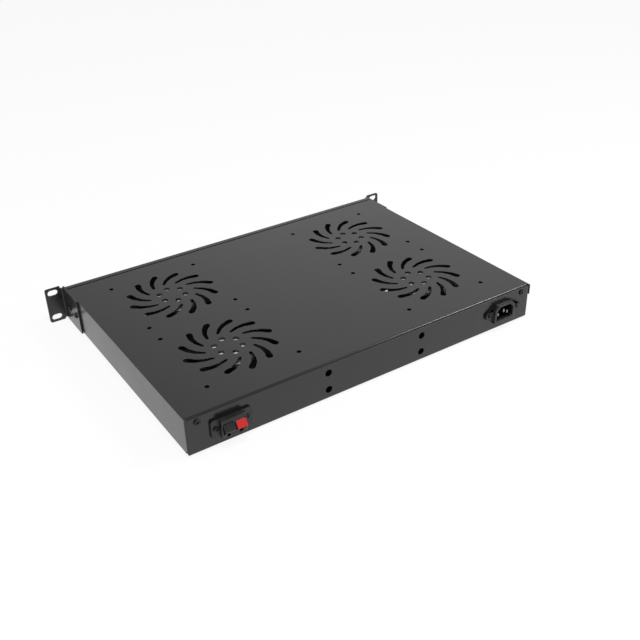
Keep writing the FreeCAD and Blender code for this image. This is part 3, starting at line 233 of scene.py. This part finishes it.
def moulded_plastic(name, dark, light, roughness, grain_mm, grain_depth):
    """Grained plastic between two close colours."""
    plastic, tree, shader, place = new_material(name, IOR=1.49)
    flow = add(tree, "ShaderNodeTexNoise", {"Vector": place, "Scale": per_metre(FLOW_MM),
                                            "Detail": 3.0})
    grain = add(tree, "ShaderNodeTexVoronoi", {"Vector": place, "Scale": per_metre(grain_mm)},
                feature="SMOOTH_F1")
    rounded = add(tree, "ShaderNodeBevel", {"Radius": MOULD_EDGE_MM * MM}, samples=4)
    tone = add(tree, "ShaderNodeMix", {"Factor": flow.outputs["Fac"], "A": linear(dark),
                                       "B": linear(light)}, data_type="RGBA")
    gloss = add(tree, "ShaderNodeMapRange", {"Value": flow.outputs["Fac"], "From Min": 0.3,
                                             "From Max": 0.7, "To Min": roughness - 0.04,
                                             "To Max": roughness + 0.06})
    bump = add(tree, "ShaderNodeBump", {"Height": grain.outputs["Distance"],
                                        "Strength": grain_depth, "Distance": 0.04 * MM,
                                        "Normal": rounded.outputs["Normal"]})
    wire(tree, shader, tone, gloss, bump)
    return plastic


NYLON_FRAME = moulded_plastic("glass_filled_nylon", "#0A0A0B", "#101011", 0.60, 0.7, 0.5)
NYLON_BLADE = moulded_plastic("blade_plastic", "#0E0E0F", "#151516", 0.50, 0.9, 0.3)
INLET_PLASTIC = moulded_plastic("inlet_thermoset", "#0B0B0C", "#121213", 0.30, 0.8, 0.2)
TERMINAL_PLASTIC = moulded_plastic("terminal_nylon", "#0C0C0D", "#131314", 0.30, 0.7, 0.35)
RED_PLASTIC = moulded_plastic("red_lever_plastic", "#A80F15", "#BC1D1C", 0.24, 1.2, 0.1)
BLACK_PLASTIC = moulded_plastic("black_key_plastic", "#0C0C0D", "#141416", 0.18, 1.2, 0.1)
BEZEL_PLASTIC = moulded_plastic("bezel_plastic", "#18181A", "#212124", 0.50, 0.6, 0.5)
KEY_PLASTIC = moulded_plastic("key_cap_plastic", "#4A4A4E", "#56565B", 0.42, 0.8, 0.3)
BOARD_LAMINATE = moulded_plastic("solder_masked_laminate", "#0F4A2A", "#18603A", 0.35, 1.6, 0.2)
for number in FANS:
    paint(NYLON_FRAME, f"fan_frame_{number}")
paint(BOARD_LAMINATE, "thermostat_board")
print("nine plastics")

# %% [markdown]
# ## Bare and plated metal
#
# Nuts, pins, contacts and screws are turned, stamped and plated, which leaves small scratches and
# faint cloudy spots: noise at two sizes moves the roughness and the tint. All of it is fully
# metallic but the black screws. Their passivation is a thin dark layer over steel, so they are set
# about halfway.

# %% Plated metal
SCRATCH_MM = 0.35
SPOT_MM = 6


def plated_metal(name, dark, light, roughness, metallic=1.0):
    """Metal with cloudy spots and fine scratches."""
    metal, tree, shader, place = new_material(name, Metallic=metallic)
    spots = add(tree, "ShaderNodeTexNoise", {"Vector": place, "Scale": per_metre(SPOT_MM),
                                             "Detail": 4.0})
    scratch = add(tree, "ShaderNodeTexNoise", {"Vector": place, "Scale": per_metre(SCRATCH_MM),
                                               "Detail": 2.0, "Distortion": 1.5})
    rounded = add(tree, "ShaderNodeBevel", {"Radius": MOULD_EDGE_MM * MM}, samples=4)
    tone = add(tree, "ShaderNodeMix", {"Factor": spots.outputs["Fac"], "A": linear(dark),
                                       "B": linear(light)}, data_type="RGBA")
    gloss = add(tree, "ShaderNodeMapRange", {"Value": scratch.outputs["Fac"], "From Min": 0.35,
                                             "From Max": 0.65, "To Min": roughness - 0.06,
                                             "To Max": roughness + 0.10})
    wire(tree, shader, tone, gloss, rounded)
    return metal


BLACK_STEEL = plated_metal("black_passivated_steel", "#1A1A1C", "#28282B", 0.34, 0.55)
ZINC_STEEL = plated_metal("zinc_plated_steel", "#A9ADB2", "#C6C9CC", 0.34)
NICKEL_BRASS = plated_metal("nickel_plated_brass", "#CDC9BC", "#E6E3D8", 0.26)
PIN_BRASS = plated_metal("dulled_pin_brass", "#8E8B82", "#A5A298", 0.22)
BRONZE = plated_metal("sintered_bronze", "#7E5A32", "#9C7444", 0.50)
COPPER_WIRE = plated_metal("enamelled_copper_wire", "#7A3B18", "#A2552A", 0.38)
paint(ZINC_STEEL, "ear_nuts", "cover_nuts", "inlet_nuts", "terminal_nuts", "lever_pin")
paint(NICKEL_BRASS, "terminal_contacts", "switch_tabs")
for number in FANS:
    paint(BRONZE, f"bearing_{number}")
    paint(COPPER_WIRE, f"stator_{number}")
print("six metals")

# %% [markdown]
# ## Small tools for pieces
#
# New pieces are shaped with bmesh operators. Some are turned: a line of points, each a radius and a
# height, is spun round an axis. Some are cut: a Boolean takes one closed shape out of another. A
# finished piece keeps its place in its mesh, rides on the body that carries it, and may stand for
# the plainer CAD sub-part that has its size.

# %% Turning, cutting and finishing
JOIN = 1e-6   # metres, for the seam of a turned shape


def turned(bm, profile, middle, axis, steps, closed=False):
    """Spins a line of (radius, height) points round an axis through `middle`."""
    side = axis.orthogonal().normalized()
    points = [bm.verts.new(middle + side * r + axis * h) for r, h in profile]
    ends = zip(points, points[1:] + (points[:1] if closed else []))
    edges = [bm.edges.new(pair) for pair in ends]
    bmesh.ops.spin(bm, geom=points + edges, cent=middle, axis=axis, dvec=(0, 0, 0),
                   angle=2 * math.pi, steps=steps, use_merge=True, use_duplicate=False)
    bmesh.ops.remove_doubles(bm, verts=bm.verts, dist=JOIN)


def as_object(bm, name):
    """Puts a bmesh into a mesh object and frees it."""
    mesh = bpy.data.meshes.new(name)
    bm.to_mesh(mesh)
    bm.free()
    holder = bpy.data.objects.new(name, mesh)
    bpy.context.collection.objects.link(holder)
    return holder


def carved(solid, tool):
    """Cuts one closed bmesh out of another and gives back the result."""
    body, cutter = as_object(solid, "carving"), as_object(tool, "carving_tool")
    cut = body.modifiers.new("cut", "BOOLEAN")
    cut.operation, cut.solver, cut.object = "DIFFERENCE", "EXACT", cutter
    seen = body.evaluated_get(bpy.context.evaluated_depsgraph_get())
    result = bmesh.new()
    result.from_mesh(seen.to_mesh())
    bpy.data.objects.remove(body)
    bpy.data.objects.remove(cutter)
    return result


def finish_piece(bm, name, material, body, stands_for=(), crease=32):
    """Closes the work on a piece: normals, smooth faces up to a crease, finish, body."""
    bmesh.ops.recalc_face_normals(bm, faces=bm.faces)
    piece = as_object(bm, name)
    piece.data.shade_smooth()
    piece.data.set_sharp_from_angle(angle=math.radians(crease))
    piece.data.materials.append(material)
    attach(piece, body)
    if stands_for:
        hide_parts(*stands_for)


def loose_parts(name):
    """Lowest and highest corner of each separate solid in a CAD sub-part."""
    bm = bmesh.new()
    bm.from_mesh(NODES[name].data)
    bmesh.ops.remove_doubles(bm, verts=bm.verts, dist=MERGE)
    waiting, boxes = set(bm.verts), []
    while waiting:
        front, group = [waiting.pop()], []
        while front:
            vert = front.pop()
            group.append(vert.co.copy())
            near = {edge.other_vert(vert) for edge in vert.link_edges} & waiting
            waiting -= near
            front += near
        boxes.append((Vector([min(c[i] for c in group) for i in range(3)]),
                      Vector([max(c[i] for c in group) for i in range(3)])))
    bm.free()
    return sorted(boxes, key=lambda box: (round(box[0].x, 5), round(box[0].y, 5)))


print("the rear cover screws are", len(loose_parts("cover_screws")), "separate solids")

# %% [markdown]
# ## Screws
#
# The CAD screws are plain eight-sided solids, right in size and place. A pressed pan head is a low
# dome with a cross recess, and its thread ends in a small chamfer. One screw of each kind is turned
# and cut in millimetres, then copied to each place with its recess turned by a different angle,
# because nobody tightens a row of screws to the same angle.

# %% Pan-head screws
DOME_STEPS = 6
SCREW_STEPS = 32
FIRST_TURN, NEXT_TURN = 12, 37   # degrees, of the first recess and from one screw to the next
RIM_SHARE = 0.4       # how much of the head's height is its upright rim
RECESS_SHARE = 0.58   # how far the cross reaches, as a share of the head's radius
RECESS_SLOT = 0.30    # width of one arm of the cross, as a share of the head's radius
RECESS_DEPTH = 0.7    # depth of the cross, as a share of the head's height
RECESS_TAPER = (0.45, 0.6, 1.0)       # what is left of an arm at its lower end
TIP_RADIUS_SHARE, TIP_LENGTH = 0.7, 0.4   # the thread's chamfer, as shares of its radius


def recess_arm(head_r, head_h, turn):
    """One arm of the cross: a bar that narrows towards the bottom of the recess."""
    bm = bmesh.new()
    verts = bmesh.ops.create_cube(bm, size=2.0)["verts"]
    bmesh.ops.scale(bm, verts=verts, vec=(RECESS_SHARE * head_r, RECESS_SLOT * head_r / 2,
                                          RECESS_DEPTH * head_h))
    low = [v for v in verts if v.co.z < 0]
    bmesh.ops.scale(bm, vec=RECESS_TAPER, verts=low)
    bmesh.ops.rotate(bm, cent=(0, 0, 0), matrix=Matrix.Rotation(turn, 3, "Z"), verts=verts)
    bmesh.ops.translate(bm, vec=(0, 0, head_h), verts=verts)
    return bm


def pan_head_screw(shank_r, length, head_r, head_h):
    """A screw in millimetres along +Z, with the seat of its head at height 0."""
    rim = RIM_SHARE * head_h
    dome = [(head_r * math.cos(a), rim + (head_h - rim) * math.sin(a))
            for a in (k * math.pi / 2 / DOME_STEPS for k in range(DOME_STEPS + 1))]
    profile = [(0, -length), (TIP_RADIUS_SHARE * shank_r, -length),
               (shank_r, TIP_LENGTH * shank_r - length), (shank_r, 0), (head_r, 0)] + dome
    screw = bmesh.new()
    turned(screw, profile, Vector((0, 0, 0)), UP, SCREW_STEPS)
    bmesh.ops.recalc_face_normals(screw, faces=screw.faces)
    for turn in (0, math.pi / 2):
        screw = carved(screw, recess_arm(head_r, head_h, turn))
    return screw


def dress_screws(node, name, shank_r, head_h, outward):
    """Pan-head screws in the places of a CAD group. `outward` gives each one's direction."""
    screws = bmesh.new()
    master = None
    for count, (low, high) in enumerate(loose_parts(node)):
        middle, size = (low + high) / 2, high - low
        out = outward(middle)
        along = abs(size.dot(out))
        head_r = (max(size - Vector([abs(c) for c in out]) * along) / 2) / MM
        if master is None:
            shape = pan_head_screw(shank_r, along / MM - head_h, head_r, head_h)
            master = bpy.data.meshes.new(name + "_master")
            shape.to_mesh(master)
            shape.free()
        before = len(screws.verts)
        screws.from_mesh(master)
        screws.verts.ensure_lookup_table()
        seat = middle + out * (along / 2 - head_h * MM)
        turn = Matrix.Rotation(math.radians(NEXT_TURN * count + FIRST_TURN), 4, "Z")
        place = (Matrix.Translation(seat) @ UP.rotation_difference(out).to_matrix().to_4x4()
                 @ turn @ Matrix.Scale(MM, 4))
        bmesh.ops.transform(screws, matrix=place, verts=screws.verts[before:])
    bpy.data.meshes.remove(master)
    finish_piece(screws, name, BLACK_STEEL, "tray", (node,))


def to_back(_):
    """Out of the rear panel."""
    return BACK


def to_side(middle):
    """Out of whichever side wall the screw is in."""
    return Vector((math.copysign(1, middle.x), 0, 0))


def to_floor(_):
    """Out of the tray's floor, downwards."""
    return -UP


SCREWS = (   # CAD group, name, radius of the shank and height of the head in mm, way out
    ("cover_screws", "pan_screws_cover", 1.5, 2.1, to_back),
    ("inlet_screws", "pan_screws_inlet", 1.5, 1.8, to_back),
    ("terminal_screws", "pan_screws_terminal", 1.5, 1.8, to_back),
    ("ear_screws", "pan_screws_ears", 2.0, 2.1, to_side),
    ("fan_screws", "pan_screws_fans", 2.05, 1.5, to_floor),
)
for row in SCREWS:
    dress_screws(*row)
print(len(SCREWS), "groups of pan-head screws")

# %% [markdown]
# ## Rotor cups
#
# The motor of such a fan turns inside out: a drawn steel cup with a shaft in its middle spins round
# a still coil. Through the vents only the cup's top shows. It is turned here in one profile,
# inside and out: skirt, rounded shoulder, a shallow stepped top with a dimple over the shaft, and
# the shaft itself. Faint rings run round the middle, and a pattern of rings needs a centre, so a
# Mapping node moves it to each fan, which makes one material per fan.

# %% Turned steel and the rotor cups
RING_MM = 1.6 * math.pi   # about 5 mm from one ring to the next
WAVE_RADIANS = 20         # what a Wave texture turns through in one unit of its own scale
STAIN_MM = 12
CUP_WALL = 1.5 * MM
CUP_SHOULDER = 1.6 * MM
SHAFT_R = 2.5 * MM
SHAFT_EDGE = 0.3 * MM
TOP_STEP_R = (8.0 * MM, 7.4 * MM)    # upper and lower radius of the step in the top
TOP_STEP = 0.4 * MM
DIMPLE_R = (3.2 * MM, 2.2 * MM)      # upper and lower radius of the dimple
DIMPLE = 0.5 * MM


def turned_steel(number, middle):
    """Plated steel with turning rings about one fan's middle."""
    steel, tree, shader, place = new_material(f"turned_steel_{number}", Metallic=1.0)
    centred = add(tree, "ShaderNodeMapping", {"Vector": place,
                                              "Location": (-middle.x, -middle.y, 0)})
    rings = add(tree, "ShaderNodeTexWave", {"Vector": centred.outputs["Vector"],
                                            "Scale": per_metre(RING_MM) * 2 * math.pi / WAVE_RADIANS,
                                            "Distortion": 0.6, "Detail": 2.0},
                wave_type="RINGS", rings_direction="Z")
    stains = add(tree, "ShaderNodeTexNoise", {"Vector": place, "Scale": per_metre(STAIN_MM),
                                              "Detail": 3.0})
    tone = add(tree, "ShaderNodeMix", {"Factor": stains.outputs["Fac"], "A": linear("#6E7073"),
                                       "B": linear("#8A8C8F")}, data_type="RGBA")
    gloss = add(tree, "ShaderNodeMapRange", {"Value": rings.outputs["Fac"], "To Min": 0.44,
                                             "To Max": 0.56})
    bump = add(tree, "ShaderNodeBump", {"Height": rings.outputs["Fac"], "Strength": 0.2,
                                        "Distance": 0.02 * MM})
    wire(tree, shader, tone, gloss, bump)
    return steel


def quarter(radius, height, size, steps=4):
    """Points of a rounded outer corner whose flat faces meet at (radius, height)."""
    angles = [k * math.pi / 2 / steps for k in range(steps + 1)]
    return [(radius - size + size * math.cos(a), height - size + size * math.sin(a))
            for a in angles]


def fan_middle(number):
    """One fan's middle, the lower end of its shaft and its cup's highest corner."""
    low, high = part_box(f"rotor_cup_{number}")
    return Vector(((low.x + high.x) / 2, (low.y + high.y) / 2, 0)), low.z, high


def rotor_cup(number):
    """Skirt, shoulder, stepped top, dimple, roof underside and shaft in one closed profile."""
    middle, shaft_end, high = fan_middle(number)
    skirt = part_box(f"impeller_{number}")[0].z
    radius = high.x - middle.x
    roof = high.z - CUP_WALL
    profile = [(radius - CUP_WALL, skirt), (radius, skirt)]
    profile += quarter(radius, high.z, CUP_SHOULDER)
    step, floor = high.z - TOP_STEP, high.z - TOP_STEP - DIMPLE
    profile += [(TOP_STEP_R[0], high.z), (TOP_STEP_R[1], step), (DIMPLE_R[0], step),
                (DIMPLE_R[1], floor), (0, floor)]
    inside = [(0, shaft_end), (SHAFT_R - SHAFT_EDGE, shaft_end),
              (SHAFT_R, shaft_end + SHAFT_EDGE), (SHAFT_R, roof), (radius - CUP_WALL, roof)]
    bm = bmesh.new()
    turned(bm, profile, middle, UP, ROUND_STEPS)
    turned(bm, inside + profile[:1], middle, UP, ROUND_STEPS)
    bmesh.ops.remove_doubles(bm, verts=bm.verts, dist=JOIN)
    finish_piece(bm, f"drawn_cup_{number}", turned_steel(number, middle),
                 f"rotor_{number}", (f"rotor_cup_{number}",))


for number in FANS:
    rotor_cup(number)
print("four rotor cups,", round((fan_middle(1)[2].x - fan_middle(1)[0].x) / MM, 1), "mm radius")

# %% [markdown]
# ## Blank rating discs
#
# A fan carries a round foil disc on its hub. It is left blank here: plain white foil, a tenth of a
# millimetre thick, with a soft edge, and smaller than the cup's top. It turns with the rotor.

# %% Foil discs
DISC_T = 0.1 * MM
DISC_EDGE = 0.1 * MM
DISC_HOLE_R = 9 * MM
DISC_RADIUS = 21.5 * MM
CRINKLE_MM = 7


def foil():
    """Plain white foil with a faint crinkle."""
    white, tree, shader, place = new_material("white_foil", IOR=1.5)
    crinkle = add(tree, "ShaderNodeTexNoise", {"Vector": place, "Scale": per_metre(CRINKLE_MM),
                                               "Detail": 3.0})
    tone = add(tree, "ShaderNodeMix", {"Factor": crinkle.outputs["Fac"], "A": linear("#E6E6E4"),
                                       "B": linear("#F2F2F0")}, data_type="RGBA")
    gloss = add(tree, "ShaderNodeMapRange", {"Value": crinkle.outputs["Fac"], "To Min": 0.42,
                                             "To Max": 0.58})
    bump = add(tree, "ShaderNodeBump", {"Height": crinkle.outputs["Fac"], "Strength": 0.15,
                                        "Distance": 0.1 * MM})
    wire(tree, shader, tone, gloss, bump)
    return white


def foil_disc(number, material):
    """A thin ring of foil on top of one cup."""
    middle, _, high = fan_middle(number)
    profile = [(DISC_HOLE_R, high.z), (DISC_HOLE_R, high.z + DISC_T),
               (DISC_RADIUS - DISC_EDGE, high.z + DISC_T), (DISC_RADIUS, high.z + DISC_T / 2),
               (DISC_RADIUS, high.z)]
    bm = bmesh.new()
    turned(bm, profile, middle, UP, ROUND_STEPS, closed=True)
    finish_piece(bm, f"foil_disc_{number}", material, f"rotor_{number}")


WHITE_FOIL = foil()
for number in FANS:
    foil_disc(number, WHITE_FOIL)
print("four blank discs,", DISC_T / MM, "mm thick")

# %% [markdown]
# ## Impellers
#
# Five blades stand on a ring pushed over the cup. A real blade is a thin curved skin: steep and
# short at the ring, flatter and longer at the tip, and a little hollow on one side.
# One blade could be a subdivided box, but a grid is easier to steer: its columns run out along the
# blade and its rows run across it, and each point is moved to its radius, angle and height.
# Solidify gives it a wall, and the rest are turned copies.

# %% Twisted blades
BLADES = 5
BLADE_ROWS = 12
BLADE_COLUMNS = 8
CHORD_MM = (25.0, 46.0)    # along the turn, at the ring and at the tip
RISE_MM = (24.0, 20.0)     # height that the blade climbs
CAMBER_MM = 3.0
BLADE_WALL_MM = 1.8
BLADE_MIDDLE = 13.5 * MM   # height of a blade's middle over the ring's lower edge
BLADE_RIM = 1.0            # radians, edges folded more than this are the blade's rim
RIM_SHARE_OF_WALL = 0.35
RING_WALL = 1.55 * MM
RING_EDGE = 0.5 * MM
RING_FIT = 0.05 * MM
TIP_RADIUS = 56.0 * MM


def blade_sheet(middle, root_r, mid_z):
    """One blade as a bent and twisted sheet without thickness."""
    bm = bmesh.new()
    bmesh.ops.create_grid(bm, x_segments=BLADE_COLUMNS, y_segments=BLADE_ROWS, size=1.0)
    for vert in bm.verts:
        out, across = (vert.co.x + 1) / 2, vert.co.y
        radius = root_r + (TIP_RADIUS - root_r) * out
        chord = (CHORD_MM[0] + (CHORD_MM[1] - CHORD_MM[0]) * out) * MM
        rise = (RISE_MM[0] + (RISE_MM[1] - RISE_MM[0]) * out) * MM
        bow = CAMBER_MM * MM * (1 - across * across)
        slant = math.atan2(rise, chord)
        along = across * chord / 2 - bow * math.sin(slant)
        height = mid_z + across * rise / 2 + bow * math.cos(slant)
        angle = along / radius
        vert.co = middle + Vector((radius * math.cos(angle), radius * math.sin(angle), height))
    return bm


def impeller(number):
    """Blades with thickness and soft rims, copied round the ring that carries them."""
    middle, _, high = fan_middle(number)
    low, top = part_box(f"impeller_{number}")
    cup_r = high.x - middle.x
    ring_r = cup_r + RING_WALL
    bm = blade_sheet(middle, cup_r + RING_WALL / 2, low.z + BLADE_MIDDLE)
    wall = BLADE_WALL_MM * MM
    bmesh.ops.solidify(bm, geom=bm.faces[:], thickness=wall)
    bmesh.ops.recalc_face_normals(bm, faces=bm.faces)
    rim = [e for e in bm.edges if len(e.link_faces) == 2 and e.calc_face_angle() > BLADE_RIM]
    bmesh.ops.bevel(bm, geom=rim, offset=RIM_SHARE_OF_WALL * wall, offset_type="OFFSET", segments=2,
                    profile=0.5, affect="EDGES", material=-1, clamp_overlap=True)
    bmesh.ops.spin(bm, geom=bm.verts[:] + bm.edges[:] + bm.faces[:], cent=middle, axis=UP,
                   dvec=(0, 0, 0), angle=2 * math.pi * (BLADES - 1) / BLADES,
                   steps=BLADES - 1, use_merge=False, use_duplicate=True)
    ring = [(cup_r + RING_FIT, low.z), (ring_r, low.z), (ring_r, top.z - RING_EDGE),
            (ring_r - RING_EDGE, top.z), (cup_r + RING_FIT, top.z)]
    turned(bm, ring, middle, UP, ROUND_STEPS, closed=True)
    finish_piece(bm, f"moulded_impeller_{number}", NYLON_BLADE, f"rotor_{number}",
                 (f"impeller_{number}",))


for number in FANS:
    impeller(number)
print("four impellers of", BLADES, "blades")

# %% [markdown]
# ## Soft edges on moulded parts
#
# Nothing moulded or pressed has a sharp edge. The CAD's small parts are right in shape but razor
# sharp, so a copy of each is merged, its flat faces are joined, and the edges that stand out are
# bevelled by a few tenths of a millimetre.

# %% Soften the connectors and keys
def softened(node, name, width_mm, material, body, slot, min_angle=28):
    """A merged and bevelled copy that stands for a CAD sub-part."""
    bm = bmesh.new()
    bm.from_mesh(NODES[node].data)
    bmesh.ops.remove_doubles(bm, verts=bm.verts, dist=MERGE)
    bmesh.ops.dissolve_limit(bm, angle_limit=math.radians(1.0), use_dissolve_boundaries=False,
                             verts=bm.verts, edges=bm.edges, delimit=set())
    width = width_mm * MM
    sharp = [e for e in bm.edges if len(e.link_faces) == 2
             and e.calc_face_angle() > math.radians(min_angle)
             and all(o.calc_length() > 2.5 * width for v in e.verts for o in v.link_edges)]
    bmesh.ops.bevel(bm, geom=sharp, offset=width, offset_type="OFFSET", segments=2,
                    profile=0.5, affect="EDGES", material=-1, clamp_overlap=True)
    print(" ", name, len(sharp), "edges bevelled")
    finish_piece(bm, name, material, body, (node,))


SOFT = (   # CAD sub-part, name, width of the bevel in mm, finish, body, slot
    ("terminal_block", "push_terminal", 0.3, TERMINAL_PLASTIC, "tray", "terminal_plastic"),
    ("red_lever", "red_push_lever", 0.4, RED_PLASTIC, "red_lever_body", "red_plastic"),
    ("black_lever", "black_push_lever", 0.4, BLACK_PLASTIC, "black_lever_body", "black_plastic"),
    ("inlet_housing", "coupler_inlet", 0.4, INLET_PLASTIC, "tray", "inlet_plastic"),
    ("inlet_pins", "coupler_pins", 0.15, PIN_BRASS, "tray", "plated_contacts"),
    ("thermostat_case", "controller_case", 0.4, BEZEL_PLASTIC, "tray", "bezel_plastic"),
    ("switch_case", "switch_body", 0.3, BEZEL_PLASTIC, "tray", "bezel_plastic"),
    ("rocker", "rocker_key", 0.3, BLACK_PLASTIC, "rocker_body", "black_plastic"),
)
for row in SOFT:
    softened(*row)
for number in (1, 2, 3):
    softened(f"set_button_{number}", f"key_cap_{number}", 0.25, KEY_PLASTIC,
             f"set_button_{number}_body", "button_plastic")
print(len(SOFT) + 3, "parts softened")

# %% [markdown]
# ## The display window
#
# The thermostat's window is a polished plate tinted dark red. The tray isn't connected, so digits
# wouldn't show, and none are modelled behind it.

# %% Window
HAZE_MM = 9


def tinted_window():
    """Polished dark red plate with a faint haze."""
    window, tree, shader, place = new_material("tinted_window", IOR=1.49, Coat_Weight=0.6)
    haze = add(tree, "ShaderNodeTexNoise", {"Vector": place, "Scale": per_metre(HAZE_MM),
                                            "Detail": 3.0})
    tone = add(tree, "ShaderNodeMix", {"Factor": haze.outputs["Fac"], "A": linear("#2A0508"),
                                       "B": linear("#38090D")}, data_type="RGBA")
    gloss = add(tree, "ShaderNodeMapRange", {"Value": haze.outputs["Fac"], "To Min": 0.06,
                                             "To Max": 0.16})
    wire(tree, shader, tone, gloss)
    return window


paint(tinted_window(), "display_lens")
print("one window")

# %% [markdown]
# ## Floor, room and lamps
#
# Small products are usually shown on white paper under soft lamps. Lighting the paper until it is
# white would wash out the tray, so the floor turns plain white only for the rays that the camera
# sees directly or in a gloss, while its own light on the tray stays that of lit paper. A tenth of
# the floor's shading is kept, which holds the soft shadow.
#
# The room is pale at the height that the flat lid mirrors, grey overhead and darker on one side, so
# the lid shades off across its width. Overhead, lamps do the work: the hub lamp's straight light
# falls through the vents and leaves the rest of the fans in the dark. The edge lamp draws a thin
# line along part of the lid's rear bend. These are choices about light and say nothing of the tray.

# %% Floor, world and lamps
FLOOR_SIZE = 12.0
FLOOR_GAP = 0.2 * MM
FLOOR_WHITE = 0.9            # share of plain white in what is seen of the floor
ROOM_LOW = 0.85
ROOM_OVERHEAD = 0.25
ROOM_SIDE = 0.6              # share of the light that is left on the darker side
ROOM_RISE = (0.6, 0.9)       # upward share of a direction where pale turns to grey
ROOM_TURN = (-0.5, -0.1)     # sideways share of a direction where the darker side begins
LAMPS = (                    # name, place, aim and size in metres, watts
    ("side_lamp", (1.0, -0.9, 0.25), (0.2, 0.0, 0.02), (0.6, 0.4), 3),
    ("edge_lamp", (-1.15, 0.6, 1.3), (0, 0, 0), (0.4, 0.4), 12),
    ("hub_lamp", (0.2, 0.45, 1.4), (0, 0, 0), (0.35, 0.35), 11),
)


def pale_when_seen(tree, lit, share):
    """Mixes a lit surface with plain white for what the camera and reflections see."""
    path = add(tree, "ShaderNodeLightPath")
    seen = add(tree, "ShaderNodeMath", {0: path.outputs["Is Camera Ray"],
                                        1: path.outputs["Is Glossy Ray"]}, operation="MAXIMUM")
    seen = add(tree, "ShaderNodeMath", {0: seen.outputs["Value"],
                                        1: path.outputs["Is Transmission Ray"]},
               operation="MAXIMUM")
    factor = add(tree, "ShaderNodeMath", {0: seen.outputs["Value"], 1: share},
                 operation="MULTIPLY")
    white = add(tree, "ShaderNodeEmission", {"Color": (1, 1, 1, 1), "Strength": 1.0})
    return add(tree, "ShaderNodeMixShader", {0: factor.outputs["Value"], 1: lit,
                                             2: white.outputs["Emission"]})


def make_floor():
    """A large sheet of white paper just under the tray."""
    bm = bmesh.new()
    bmesh.ops.create_grid(bm, x_segments=1, y_segments=1, size=FLOOR_SIZE / 2)
    floor = as_object(bm, "floor")
    floor.location.z = cad_low.z - FLOOR_GAP
    paper, tree, shader, _ = new_material("white_paper", Roughness=0.9)
    shader.inputs["Base Color"].default_value = linear("#F4F4F4")
    mixed = pale_when_seen(tree, shader.outputs["BSDF"], FLOOR_WHITE)
    tree.links.new(mixed.outputs["Shader"], tree.nodes["Material Output"].inputs["Surface"])
    floor.data.materials.append(paper)


def make_world():
    """A plain room: pale low down, grey overhead, darker on one side and white to look at."""
    world = bpy.data.worlds.new("studio")
    bpy.context.scene.world = world
    world.use_nodes = True
    tree = world.node_tree
    room = tree.nodes["Background"]
    seen = add(tree, "ShaderNodeSeparateXYZ",
               {"Vector": add(tree, "ShaderNodeTexCoord").outputs["Generated"]})
    level = add(tree, "ShaderNodeMapRange", {"Value": seen.outputs["Z"], "From Min": ROOM_RISE[0],
                                             "From Max": ROOM_RISE[1], "To Min": ROOM_LOW,
                                             "To Max": ROOM_OVERHEAD},
                interpolation_type="SMOOTHSTEP")
    shade = add(tree, "ShaderNodeMapRange", {"Value": seen.outputs["X"], "From Min": ROOM_TURN[0],
                                             "From Max": ROOM_TURN[1], "To Min": 1.0,
                                             "To Max": ROOM_SIDE},
                interpolation_type="SMOOTHSTEP")
    strength = add(tree, "ShaderNodeMath", {0: level.outputs["Result"],
                                            1: shade.outputs["Result"]}, operation="MULTIPLY")
    rays = add(tree, "ShaderNodeLightPath")
    shown = add(tree, "ShaderNodeMath", {0: strength.outputs["Value"],
                                         1: rays.outputs["Is Camera Ray"]}, operation="MAXIMUM")
    room.inputs["Color"].default_value = linear("#FFFFFF")
    tree.links.new(shown.outputs["Value"], room.inputs["Strength"])


def soft_lamp(name, place, aim, size, watts):
    """A rectangular area lamp at one point, turned to face another."""
    lamp = bpy.data.objects.new(name, bpy.data.lights.new(name, "AREA"))
    lamp.data.shape = "RECTANGLE"
    lamp.data.size, lamp.data.size_y = size
    lamp.data.energy = watts
    lamp.location = place
    lamp.rotation_mode = "QUATERNION"
    lamp.rotation_quaternion = (Vector(aim) - Vector(place)).to_track_quat("-Z", "Y")
    bpy.context.collection.objects.link(lamp)


make_floor()
make_world()
for row in LAMPS:
    soft_lamp(*row)
bpy.context.scene.view_settings.view_transform = "Standard"
print("lit by", len(LAMPS), "lamps and a pale room")
